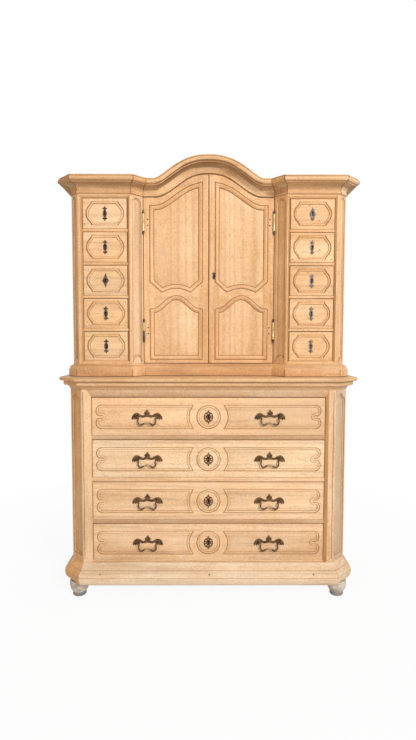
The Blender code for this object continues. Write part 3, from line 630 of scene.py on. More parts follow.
# Painted shade: a darker brown for splays and left-facing corners that lie in shade
splay_shade = oak("splay_painted_shade_oak", (0.60, 0.315, 0.115), (0.44, 0.205, 0.070), "Z", 10.8, lime=0.0, pale=0.1)
# Pale groove brown for carved grooves, and painted shade on the towers' cornice soffits
pale_groove_and_shade = oak("pale_groove_oak", (0.62, 0.38, 0.18), (0.45, 0.25, 0.105), "X", 10.4, lime=0.1)
seam_brown = oak("seam_oak", (0.13, 0.060, 0.025), (0.07, 0.032, 0.014), "X", 10.9, lime=0.0, pale=0.0)
# Painted shade: a black plug behind each keyhole stands in for the dark hole
bare_black = Finish("keyhole_shade")
bare_black.shader.inputs["Specular IOR Level"].default_value = 0.0
keyhole_shade = bare_black.set(colour=(0.004, 0.003, 0.003, 1), roughness=0.9)
foot_wood = worn_wood("worn_foot_wood")
hinge_brass = old_metal("hinge_brass", (0.70, 0.60, 0.31), (0.52, 0.42, 0.20), 0.35, 0.5)
dark_brass = old_metal("hinge_finial_brass", (0.10, 0.075, 0.045), (0.03, 0.022, 0.015), 0.5, 0.4)
bronze = old_metal("pull_bronze", (0.21, 0.100, 0.030), (0.040, 0.018, 0.006), 0.42, 0.35)
rubbed_bronze = old_metal("rubbed_bronze", (0.56, 0.38, 0.17), (0.30, 0.17, 0.06), 0.35, 0.5)
iron = old_metal("escutcheon_iron", (0.135, 0.088, 0.058), (0.030, 0.020, 0.014), 0.55, 0.3)
grey_iron = old_metal("escutcheon_grey_iron", (0.25, 0.205, 0.170), (0.090, 0.072, 0.060), 0.6, 0.15)
long_oak = {
    1: oak("long_drawer_oak_1", (0.89, 0.575, 0.315), (0.78, 0.455, 0.220), "X", 11.0, holes=0.97, dull=0.55),
    2: oak("long_drawer_oak_2", (0.90, 0.635, 0.385), (0.79, 0.520, 0.280), "X", 12.3, holes=0.97),
    3: oak("long_drawer_oak_3", (0.86, 0.575, 0.330), (0.74, 0.450, 0.225), "X", 13.1, holes=0.95),
    4: oak("long_drawer_oak_4", (0.84, 0.550, 0.315), (0.71, 0.430, 0.215), "X", 14.9, holes=0.95),
}
small_oak = [
    oak("small_drawer_oak_1", (0.85, 0.525, 0.265), (0.72, 0.405, 0.180), "X", 21.0, lime=0.2),
    oak("small_drawer_oak_2", (0.84, 0.540, 0.290), (0.72, 0.430, 0.200), "X", 22.4, lime=0.3),
    oak("small_drawer_oak_3", (0.81, 0.490, 0.240), (0.67, 0.365, 0.155), "X", 23.7, lime=0.2),
]


# Sunk panels in canted posts

DIAGONAL = math.sqrt(0.5)
SUNK_CLEAR = 0.001


def peaked(half, high):
    """Head of a sunk panel that runs up to a point, from right to left."""
    right = [(half, high - half * 0.75), (half * 0.55, high - half * 0.48), (half * 0.25, high - half * 0.22)]
    return both_sides(right, (0, high))


def arched(half, high):
    """Head of a sunk panel that ends in a half round, from right to left."""
    return arc((0, high - half), half, half, 0, 180, 12)


def squared(half, low):
    """Straight foot of a sunk panel, from left to right."""
    return [(-half, low), (half, low)]


def tongued(half, low):
    """Foot of a sunk panel with a half-round tongue standing up into it, from left to right."""
    return [(-half, low)] + arc((0, low), half * 0.8, half * 0.9, 180, 0, 10) + [(half, low)]


def cant_panel(piece, facing, middle, foot, head, steps):
    """A sunk panel in a canted post, from its foot and head outlines."""
    facing = Vector(facing)
    across = Vector((-facing.y, facing.x, 0))

    def place(u, v):
        point = Vector(middle) + across * u
        return point.x, point.y, v

    carve_into(piece, facing, place, [(turned_left(foot + head), steps, 0)])


def sunk_below(centre, corner, facing):
    """Whether a face lies in the sunk field of a canted post that passes through a corner."""
    return (Vector(corner) - Vector((centre.x, centre.y, 0))).dot(Vector(facing)) > SUNK_CLEAR


# Front frames

DRAWER_TOP_GAP = 0.003
SEAT_GAP = 0.0003
JOINT = 0.0004
LINE_DEPTH = 0.004
END_TURN, END_DEPTH = 0.25, 0.004


def rail_heights(drawers, floor):
    """Foot and top of the rails between stacked drawers, and of the one below them."""
    boxes = [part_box(drawer) for drawer in drawers]
    tops = [low.z - SEAT_GAP for low, high in boxes]
    feet = [high.z + DRAWER_TOP_GAP for low, high in boxes[1:]] + [floor]
    return list(zip(feet, tops))


def mitred(post, rail, corner, across):
    """Saws a post and a rail to a mitre that passes through a corner and looks across it."""
    corner, across = Vector(corner), Vector(across).normalized()
    trimmed(post, corner - across * JOINT, across)
    trimmed(rail, corner + across * JOINT, -across)


def line_profile(out, proud, low, high):
    """Section of a dark line that stands just proud of a moulding's reach."""
    return [(out - LINE_DEPTH, low), (out + proud, low), (out + proud, high), (out - LINE_DEPTH, high)]


def dark_ends(middle, half):
    """Picks a front's second finish for the faces at its two ends."""
    return lambda centre, normal: int(abs(normal.x) > END_TURN and abs(centre.x - middle) > half - END_DEPTH)


def paint_box(box):
    """Gives a drawer's box grain that runs along each side."""
    return paint(box, [inner_deep, inner_oak], lambda centre, normal: int(abs(normal.y) > 0.5))


# Chest

FOOT_TIP = [(0.52, 0), (0.64, 0.02), (0.69, 0.07), (0.69, 0.13), (0.63, 0.15)]
FOOT_NECK = [(0.98, 0.93), (0.93, 1)]


def dress_feet():
    """Turned feet with a groove above a scuffed tip, from shares of their radius and height."""
    shape = FOOT_TIP + arc((0, 0.83), 1, 0.80, -50, 0, 7) + FOOT_NECK
    for row in ("front", "rear"):
        for side in SIDES:
            node = f"foot_{row}_{side}"
            low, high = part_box(node)
            middle, size = (low + high) / 2, high - low
            profile = [(size.x / 2 * out, size.z * up) for out, up in shape]
            foot = turned(f"turned_{node}", profile, (middle.x, middle.y, 0), 40)
            carry(paint(foot, [foot_wood]), CABINET, node, slot="worn_foot")


SUNK = [(0.0034, -0.0042, 2), (0.0045, -0.0022, 0), (0.0022, -0.0020, 2), (0.0030, 0.0012, 0)]
CHEST_OPENING = 0.577
CHEST_CORNER = 0.623
CHEST_SPLAY = 0.015
CHEST_SPLAY_RISE = 0.028
SPLAY_DEPTH = 0.0105
FRAME_DEPTH = 0.030
CHEST_PANEL_HALF = 0.042
CHEST_PANEL_FOOT, CHEST_PANEL_HEAD = 0.030, 0.018
CHEST_PANEL_POINT = 0.040
CHEST_POST_RETURN, CHEST_POST_BACK = 0.042, 0.012
CHEST_RAIL_EASE = 0.002
QUIRK_INSET, QUIRK_SINK, QUIRK_RADIUS = 0.007, 0.0006, 0.0015
QUIRK_FOOT, QUIRK_HEAD = 0.020, 0.012


def chest_frame():
    """Front of the chest: canted posts and a top rail with mitred splays, and rails between the drawers."""
    low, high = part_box("base_face_frame")
    face, sunk, back = low.y, low.y + SPLAY_DEPTH, low.y + FRAME_DEPTH
    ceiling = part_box("long_drawer_1_front")[1].z + DRAWER_TOP_GAP
    parts = []

    # Painted shade: the left cant's field and ends take the shaded cant oak, the right post's left-facing splay the
    # splay shade
    def post_tone(centre, normal):
        side = math.copysign(1, centre.x)
        if abs(centre.x) > CHEST_CORNER and abs(normal.x) > 0.3:
            field = sunk_below(centre, (side * CHEST_CORNER, face, 0), (side * DIAGONAL, -DIAGONAL, 0))
            ends = centre.z < low.z + CHEST_PANEL_FOOT or centre.z > high.z - CHEST_PANEL_POINT
            return (1 if side < 0 else 4) if field or ends else 0
        return 3 if normal.x < -0.3 and centre.x > 0 else 0

    rail_end = [(back, ceiling), (sunk, ceiling), (face, ceiling + CHEST_SPLAY_RISE), (face, high.z), (back, high.z)]
    rail = sawn("chest_top_rail", rail_end, "X", -CHEST_CORNER, CHEST_CORNER)
    plan = [(CHEST_OPENING, back), (CHEST_OPENING, sunk), (CHEST_OPENING + CHEST_SPLAY, face), (CHEST_CORNER, face)]
    plan += [(high.x, high.y), (high.x - CHEST_POST_RETURN, high.y), (CHEST_CORNER - CHEST_POST_BACK, back)]
    foot = squared(CHEST_PANEL_HALF, low.z + CHEST_PANEL_FOOT)
    head = peaked(CHEST_PANEL_HALF, high.z - CHEST_PANEL_HEAD)
    for sign in SIDES.values():
        post = sawn(f"chest_post_{sign}", turned_left(plan, sign), "Z", low.z, high.z)
        mitred(post, rail, (sign * CHEST_OPENING, 0, ceiling), (-sign * CHEST_SPLAY_RISE, 0, CHEST_SPLAY))
        middle = (sign * (CHEST_CORNER + high.x) / 2, (face + high.y) / 2, 0)
        cant_panel(post, (sign * DIAGONAL, -DIAGONAL, 0), middle, foot, head, SUNK)
        parts.append(paint(post, [chest_upright, chest_shaded_cant, groove_oak, splay_shade, chest_grey_cant], post_tone))
        x, y = sign * (CHEST_CORNER - QUIRK_INSET), face + QUIRK_SINK
        line = [(x, y, low.z + QUIRK_FOOT, 1), (x, y, high.z - QUIRK_HEAD, 1)]
        parts.append(paint(rod(f"chest_post_quirk_{sign}", line, QUIRK_RADIUS), [seam_brown]))
    parts.append(paint(rail, [chest_grey]))
    drawers = [f"long_drawer_{index}_front" for index in LONG_DRAWERS]
    for number, (foot, top) in enumerate(rail_heights(drawers, low.z), 1):
        strip = board(f"chest_rail_{number}", (-CHEST_OPENING, sunk, foot), (CHEST_OPENING, back, top), CHEST_RAIL_EASE)
        parts.append(paint(strip, [chest_grey if number % 2 else chest_rail]))
    carry(joined("chest_front_frame", parts), CABINET, "base_face_frame", slot="chest_oak")


def chest_path(back):
    """The chest in plan, from its back on the right round the front to its back on the left."""
    low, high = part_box("base_face_frame")
    return both_sides([(high.x, back), (high.x, high.y), (CHEST_CORNER, low.y)])


TOP_EDGE = 0.110
TOP_FIELD_INSET = 0.095
TOP_FIELD_LIFT, TOP_FIELD_BACK, TOP_FIELD_SINK = 0.001, 0.0003, 0.0004
TOP_GROOVE_FOOT, TOP_GROOVE_HEAD = 0.036, 0.0402


def table_profile(height, reach):
    """Edge of the chest's top, as reach and rise: fillet, hollow, fascia, groove and rounded nose."""
    turns = [i * math.pi / 12 for i in range(7)]
    hollow = [(0.004 + 0.020 * (1 - math.cos(t)), 0.0055 + 0.012 * math.sin(t)) for t in turns]
    swelling = arc((0.0245, 0.0245), 0.0065, 0.0055, -70, 0, 4)
    nose = arc((reach - 0.0095, height - 0.0100), 0.0095, 0.0095, -90, 80, 9)
    edge = [(-TOP_EDGE, 0.0004), (0, 0.0004), (0.003, 0.0004), (0.003, 0.0048)] + hollow + swelling
    return edge + [(0.0312, 0.0370), (0.0294, 0.0378), (0.0294, 0.0398)] + nose + [(-TOP_EDGE, height)]


def dress_chest_top():
    """Moulded top of the chest: a mitred edge round a plain field."""
    low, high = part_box("base_top")
    frame_low, frame_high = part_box("base_face_frame")
    profile = table_profile(high.z - low.z, high.x - frame_high.x)
    edge = swept("chest_top_edge", corner_rings(profile, chest_path(high.y), low.z))
    inner = frame_high.x - TOP_FIELD_INSET
    field = board("chest_top_field", (-inner, frame_low.y + TOP_FIELD_INSET, low.z + TOP_FIELD_LIFT),
                  (inner, high.y - TOP_FIELD_BACK, high.z - TOP_FIELD_SINK))

    def tone(centre, normal):
        if abs(normal.x) > 0.3 and centre.y > frame_high.y:
            return 3
        # Painted shade: left-facing faces of the canted corner take the shaded cant oak
        if normal.x < -0.35 and normal.y < -0.2:
            return 1
        return 2 if TOP_GROOVE_FOOT < centre.z - low.z < TOP_GROOVE_HEAD and normal.z < 0.9 else 0

    paint(edge, [chest_table, chest_shaded_cant, pale_groove_and_shade, chest_deep], tone)
    paint(field, [chest_table])
    carry(joined("chest_top", [edge, field]), CABINET, "base_top", slot="chest_oak")


PLINTH_LINES = (0.044, 0.076)
PLINTH_LINE_AT, PLINTH_LINE_PROUD, PLINTH_LINE_HEIGHT = 0.1, 0.0002, 0.0015
PLINTH_CANT_REACH = 0.022
PLINTH_NAILS = (-0.535, 0.005, 0.521)
PLINTH_NAIL_RISE = 0.062
PLINTH_NAIL_HEAD = [(0.0042, -0.003), (0.0042, 0.0004), (0.0020, 0.0009)]


def dress_chest_case():
    """Plinth, sides and top of the chest."""
    plinth = refined("base_plinth", "chest_plinth", SOFT_EASE)
    low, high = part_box("base_plinth")
    frame_low, frame_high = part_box("base_face_frame")

    def tone(centre, normal):
        if abs(centre.x) > CHEST_CORNER and centre.y > frame_high.y:
            return 2
        # Painted shade: the plinth's left cant takes the shaded cant oak
        return 1 if centre.x < -CHEST_CORNER - PLINTH_CANT_REACH else 0

    def front_at(x, rise):
        return plinth.ray_cast((x, low.y - 1, low.z + rise), (0, 1, 0))[1]

    paint(plinth, [chest_pale, chest_shaded_cant, chest_deep], tone)
    carry(plinth, CABINET, "base_plinth", slot="chest_oak")
    lines, nails = [], []
    for number, rise in enumerate(PLINTH_LINES):
        reach = frame_low.y - front_at(PLINTH_LINE_AT, rise).y
        quirk = line_profile(reach, PLINTH_LINE_PROUD, 0, PLINTH_LINE_HEIGHT)
        rings = corner_rings(quirk, chest_path(high.y), low.z + rise)
        lines.append(swept(f"chest_plinth_quirk_{number}", rings))
    carry(paint(joined("chest_plinth_quirks", lines), [groove_oak]), CABINET, slot="chest_oak")
    for number, x in enumerate(PLINTH_NAILS):
        spot = front_at(x, PLINTH_NAIL_RISE)
        nails.append(turned(f"chest_plinth_nail_{number}", PLINTH_NAIL_HEAD, spot, 12, axis="Y"))
    carry(paint(joined("chest_plinth_nails", nails), [seam_brown]), CABINET, slot="chest_oak")
    for side in SIDES:
        wall = paint(refined(f"base_{side}_side", f"chest_{side}_side"), [chest_upright])
        carry(wall, CABINET, f"base_{side}_side", slot="chest_oak")
        frame["nodes"][f"base_{side}_runners"].material_slots[0].material = inner_deep
    dress_chest_top()


BACKS = (("base_back_board", "chest_back_planks", 6), ("upper_back_board", "upper_back_planks", 7))
PLANK_GAP_HALF = 0.0016
PLANK_GAP_DEPTH = 0.004


def dress_backs():
    """Back boards of both cases, from upright planks."""
    for node, name, planks in BACKS:
        piece = refined(node, name, 0)
        low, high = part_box(node)
        seams = [low.x + i * (high.x - low.x) / planks for i in range(1, planks)]
        split_across(piece, [seam + side * PLANK_GAP_HALF for seam in seams for side in (-1, 1)])
        mesh = edit(piece)
        for face in mesh.faces:
            x = face.calc_center_median().x
            face.select_set(face.normal.y > 0.9 and min(abs(x - seam) for seam in seams) < 0.001)
        bmesh.update_edit_mesh(piece.data)
        bpy.ops.mesh.extrude_region_move(TRANSFORM_OT_translate={"value": (0, -PLANK_GAP_DEPTH, 0)})
        carry(paint(close(piece), [inner_upright]), CABINET, node, slot="inner_oak")


# Metalwork

SHARP = "VECTOR"
PLUG_EASE = 0.0002


def mirrored(half):
    """A whole outline from its right half in millimetres, whose points are smooth unless marked sharp."""
    right = [(u * MM, v * MM, *(kind or ["AUTO"])) for u, v, *kind in half]
    return right + [(-u, v, kind) for u, v, kind in reversed(right) if u > 0]


def oval(u, v, radius_u, radius_v):
    """A smooth closed oval for a plate."""
    return [(a * MM, b * MM, "AUTO") for a, b in arc((u, v), radius_u, radius_v, 0, 360, 6)[:-1]]


def keyhole(width, height):
    """A keyhole: a round eye over a flared slot."""
    half = width / 2
    return mirrored([(0, height * 0.5), (half, height * 0.28), (half * 0.5, height * 0.06, SHARP),
                     (half * 0.75, -height * 0.5, SHARP)])


def dress_keyhole(name, body, metal, centre, half, hole, thickness, ease, plug, plug_thickness, pierced=()):
    """A keyhole plate with a black plug behind its keyhole, as painted shade in the hole."""
    outlines = [mirrored(half), *pierced, keyhole(*hole)]
    cast = plate(f"{name}_keyhole_plate", outlines, thickness, ease, centre)
    carry(paint(cast, [metal]), body, slot="pull_bronze")
    black = plate(f"{name}_keyhole", [keyhole(*plug)], plug_thickness, PLUG_EASE, centre)
    carry(paint(black, [keyhole_shade]), body, slot="pull_bronze")


# Half outlines of a pull's plate and of the keyhole plates
PULL_HALF = [
    (0, 36, SHARP), (4, 30.5), (6, 26, SHARP), (12.5, 21), (13, 15), (9.5, 10, SHARP), (22, 6), (32, 10), (42, 16),
    (53, 18), (63, 13.5), (70, 5), (75, -7), (73, -14, SHARP), (67, -10), (62, -15, SHARP), (56, -9),
    (50, -12, SHARP), (46, -5), (41, -6, SHARP), (37, 0), (29, -2.5), (18, -3.5), (8, -1),
]
OVAL_HALF = [
    (0, 34, SHARP), (3, 29), (2.5, 26), (9, 23), (17, 17), (21.5, 8), (22.5, 0), (21.5, -8), (17, -17), (9, -23),
    (2.5, -26), (3, -29), (0, -34, SHARP),
]
FLEURON_HALF = [
    (0, 35, SHARP), (3.5, 30), (2.5, 26.5, SHARP), (7, 27), (11, 23.5), (7, 20.5), (3.2, 19, SHARP), (4, 16),
    (7.5, 10), (9, 0), (7.5, -10), (4, -16), (3.2, -20, SHARP), (7, -20.5), (11, -23.5), (7, -27),
    (2.5, -26.5, SHARP), (3.5, -30), (0, -35, SHARP),
]
LOZENGE_HALF = [(0, 34, SHARP), (6, 17, SHARP), (16, 0, SHARP), (6, -17, SHARP), (0, -34, SHARP)]
# Holes in the oval plate, as millimetres across and up and two radii
PIERCED_MIDDLE = ((0, 18.2, 4.2, 3.2), (0, -18.2, 4.2, 3.2))
PIERCED_SIDE = ((12.2, 11, 4.6, 5.0), (15.4, 0, 3.6, 3.9), (12.2, -11, 4.6, 5.0))
LEAF_HALF = [(0, 33, SHARP), (5, 20), (13, 6), (14, -4), (8, -16), (9, -22), (4, -28), (0, -33, SHARP)]
DOOR_PLATE_HALF = [
    (0, 23, SHARP), (2.5, 20), (2.2, 17), (9.5, 14.5), (10, 11), (4.5, 9), (6.5, 3), (6.5, -6), (4, -12),
    (0, -17, SHARP),
]
# Ribs of a pull's plate, as millimetres across, back and up, and a share of the thickness
PULL_VEIN = [(28, -3.8, 3, 0.5), (41, -4.4, 10, 1.2), (55, -4.6, 11, 1.4), (68, -4.0, 0, 0.7)]
PULL_SCROLL = [(9, -3.6, 4, 0.7), (20, -4.1, 1, 1.1), (33, -3.9, 5, 1), (44, -3.8, 4, 0.5)]
PULL_LOBES = ((48, -6), (57, -8), (67, -9))
PULL_BUD = [(0, -3.4, 10, 0.9), (0, -4.2, 18, 1.7), (0, -3.8, 28, 1.1), (0, -2.6, 35, 0.3)]
PULL_POST = [(0.0068, 0), (0.0068, 0.005), (0.0052, 0.0065), (0.0052, 0.0145), (0.0042, 0.0165), (0.0018, 0.0175)]
# Right half of a bail, as metres out from its reach, a share of its drop, and a share of the thickness
BAIL_HALF = [(0.004, 0, 0.8), (0, 0.18, 0.95), (0.002, 0.45, 1), (-0.002, 0.76, 1), (-0.011, 0.90, 1.1),
             (-0.022, 0.80, 1.15)]
BAIL_BEADS = ((0.013, 0.88, 0.0046), (0.022, 0.79, 0.0042))
BEAD = [(0.3, -1), (0.8, -0.6), (1, 0), (0.8, 0.6), (0.3, 1)]
PULL_THICKNESS, PULL_EASE, PULL_POST_INSET = 0.0032, 0.0009, 0.006
VEIN_RADIUS, SCROLL_RADIUS, LOBE_RADIUS, BUD_RADIUS = 0.0024, 0.0017, 0.0021, 0.0024
BAIL_RADIUS, BAIL_INSET, BAIL_RUBBED_INSET = 0.0033, 0.013, 0.028
BAIL_MIDDLE_FALL, BAIL_MIDDLE_SHARE = 0.62, 1.2


def dress_pull(index, side, face):
    """A bronze pull: leafy plate, its ribs, two posts, and the swinging bail with its beads."""
    node = f"bail_{index}_{side}"
    axle = Vector(next(joint["pos_m"] for joint in frame["joints"] if joint["child"] == node))
    low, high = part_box(node)
    half, drop = (high.x - low.x) / 2, axle.z - low.z
    centre = Vector((axle.x, face, axle.z))

    def rib(name, line, radius, sign=1):
        points = [(sign * x * MM, y * MM, z * MM, share) for x, y, z, share in line]
        return rod(f"{node}_{name}_{sign}", points, radius, centre)

    parts = [plate(f"{node}_leaf", [mirrored(PULL_HALF)], PULL_THICKNESS, PULL_EASE, centre)]
    for sign in SIDES.values():
        parts += [rib("vein", PULL_VEIN, VEIN_RADIUS, sign), rib("scroll", PULL_SCROLL, SCROLL_RADIUS, sign)]
        for across, rise in PULL_LOBES:
            lobe = [(across + 1, -3.9, 5, 0.5), (across, -4.2, -1, 1), (across, -3.2, rise, 0.4)]
            parts.append(rib(f"lobe_{across}", lobe, LOBE_RADIUS, sign))
        spot = (axle.x + sign * (half - PULL_POST_INSET), face, axle.z)
        parts.append(turned(f"{node}_post_{sign}", PULL_POST, spot, 16, axis="Y"))
    parts.append(rib("bud", PULL_BUD, BUD_RADIUS))
    carry(paint(joined(f"{node}_plate", parts), [bronze]), f"long_drawer_{index}", slot="pull_bronze")

    reach = half - BAIL_INSET
    right = [(reach + out, 0, -drop * fall, share) for out, fall, share in BAIL_HALF]
    middle = (0, 0, -drop * BAIL_MIDDLE_FALL, BAIL_MIDDLE_SHARE)
    parts = [rod(f"{node}_rod", both_sides(right, middle), BAIL_RADIUS, axle)]
    for sign in SIDES.values():
        for inset, fall, size in BAIL_BEADS:
            spot = (axle.x + sign * (reach - inset), axle.y, axle.z - drop * fall)
            bead = [(size * out, size * up) for out, up in BEAD]
            parts.append(turned(f"{node}_bead_{sign}_{inset}", bead, spot, 14))
    bail = joined(f"{node}_bail", parts)
    rubbed = reach - BAIL_RUBBED_INSET
    paint(bail, [bronze, rubbed_bronze], lambda centre, normal: int(abs(centre.x - axle.x) < rubbed))
    carry(bail, node, node, slot="pull_bronze")


# Long drawers

LONG_CARVING = [(0.0030, -0.0036, 1), (0.0018, 0.0042, 0), (0.0030, 0.0014, 0), (0.0032, -0.0014, 0),
                (0.0018, -0.0042, 2), (0.0018, 0.0012, 0)]
PANEL_HALF_HEIGHT = 0.0605
LOBE = PANEL_HALF_HEIGHT / 2
ROUNDEL_RADIUS = 0.060
ROUNDEL_ARC = 0.094
KNOB = 0.0045
CURL = 0.0055
FRONT_THICKNESS = 0.022
LONG_EASE = 0.003
PANEL_MARGIN, PANEL_DROP = 0.019, 0.002
CURL_INSET, CURL_RADIUS, CURL_PROUD, CURL_TAPER = 0.012, 0.0021, 0.0006, 0.07
KNOB_SINK = 0.002
BOX_EASE = 0.001


def long_panel(sign, outer):
    """Framed field of a long drawer: two lobes and a knob at its outer end, an arc round the roundel."""
    centre = outer - LOBE
    corner = math.degrees(math.asin(PANEL_HALF_HEIGHT / ROUNDEL_ARC))
    upper, lower = arc((0, 0), ROUNDEL_ARC, ROUNDEL_ARC, corner, -corner, 1)
    outline = [upper] + arc((0, 0), ROUNDEL_ARC, ROUNDEL_ARC, corner / 2, -corner / 2, 6) + [lower]
    outline += arc((centre, -LOBE), LOBE, LOBE, -90, 60, 9)
    outline += arc((centre - KNOB_SINK, 0), KNOB, KNOB, -60, -300, 6)
    outline += arc((centre, LOBE), LOBE, LOBE, -60, 90, 9)
    return turned_left(outline, sign)


def curls(body, face, middle, outer):
    """Two small carved curls at the cusp of each long panel."""
    made = []
    for sign in SIDES.values():
        for rise in (-1, 1):
            round_about = arc((outer - LOBE - CURL_INSET, rise * CURL), CURL, CURL, 60 * rise, -210 * rise, 6)
            points = [(sign * u, 0, v, 1 - i * CURL_TAPER) for i, (u, v) in enumerate(round_about)]
            made.append(rod(f"{body}_curl_{sign}_{rise}", points, CURL_RADIUS, (0, face - CURL_PROUD, middle)))
    return joined(f"{body}_curls", made)


def dress_long_drawers():
    """Long drawers: carved fronts, boxes, pulls and openwork keyhole plates."""
    roundel = arc((0, 0), ROUNDEL_RADIUS, ROUNDEL_RADIUS, 0, 360, 40)[:-1]
    pierced = [oval(*hole) for hole in PIERCED_MIDDLE]
    for sign in SIDES.values():
        pierced += [oval(sign * u, *rest) for u, *rest in PIERCED_SIDE]
    for index in LONG_DRAWERS:
        body = f"long_drawer_{index}"
        low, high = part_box(f"{body}_front")
        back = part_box(f"{body}_box")[0].y - SEAT_GAP
        face = back - FRONT_THICKNESS
        front = board(f"{body}_carved_front", (low.x, face, low.z), (high.x, back, high.z), LONG_EASE)
        middle = (low.z + high.z) / 2 - PANEL_DROP
        outer = high.x - PANEL_MARGIN
        carvings = [(long_panel(sign, outer), LONG_CARVING, 0) for sign in SIDES.values()]
        carvings.append((roundel, LONG_CARVING, 0))
        carve_into(front, FORWARDS, lambda u, v: (u, face, middle + v), carvings)
        paint(front, [long_oak[index], groove_oak, pale_groove_and_shade], dark_ends(0, high.x))
        soften_runs(front, 1, 2)
        carry(front, body, f"{body}_front", slot="chest_oak")
        carry(paint(curls(body, face, middle, outer), [long_oak[index]]), body, slot="chest_oak")
        box = refined(f"{body}_box", f"{body}_oak_box", BOX_EASE)
        carry(paint_box(box), body, f"{body}_box", slot="inner_oak")
        field = face + depth_of(LONG_CARVING)
        dress_keyhole(body, body, bronze, (0, field, middle), OVAL_HALF, hole=(10, 22), thickness=0.0026,
                      ease=0.0006, plug=(11, 23.5), plug_thickness=0.0015, pierced=pierced)
        for side in SIDES:
            dress_pull(index, side, field)


# Upper case

TOWER_SUNK = [(0.0020, -0.0036, 2), (0.0036, -0.0016, 0), (0.0018, -0.0016, 2), (0.0024, 0.0010, 0)]
ARCH_HALF, ARCH_RISE, ARCH_SKEW = 0.268, 0.114, 1.26
SPRINGING = 2.015
DOOR_FACE = -0.135
TOWER_SPLAY = 0.009
TOWER_SPLAY_DEPTH = 0.0078
TOWER_RAIL_DEPTH = 0.025
TOWER_EASE = 0.001
TOWER_HEAD_EASE = 0.0005
TOWER_HEAD_RISE = 0.004
INNER_LIP, INNER_RETURN = 0.004, 0.010
OUTER_LIP, OUTER_RETURN = 0.012, 0.035
TOWER_PANEL_MARGIN, TOWER_PANEL_FOOT, TOWER_PANEL_HEAD = 0.010, 0.010, 0.006
SMALL_INNER, SMALL_OUTER = 0.4005, 0.6225
TOWER_INNER, TOWER_OUTER = 0.386, 0.645


def arch_height(x):
    """Height of the doors' ogee arch."""
    return SPRINGING + ARCH_RISE * swell(min(1, abs(x) / ARCH_HALF) ** ARCH_SKEW)


def tower_path(back):
    """Right half of the upper case in plan, from its back to the edge of the door."""
    low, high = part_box("right_tower_frame")
    return [(high.x, back), (high.x, low.y + high.x - TOWER_OUTER), (TOWER_OUTER, low.y), (TOWER_INNER, low.y),
            (low.x, DOOR_FACE)]


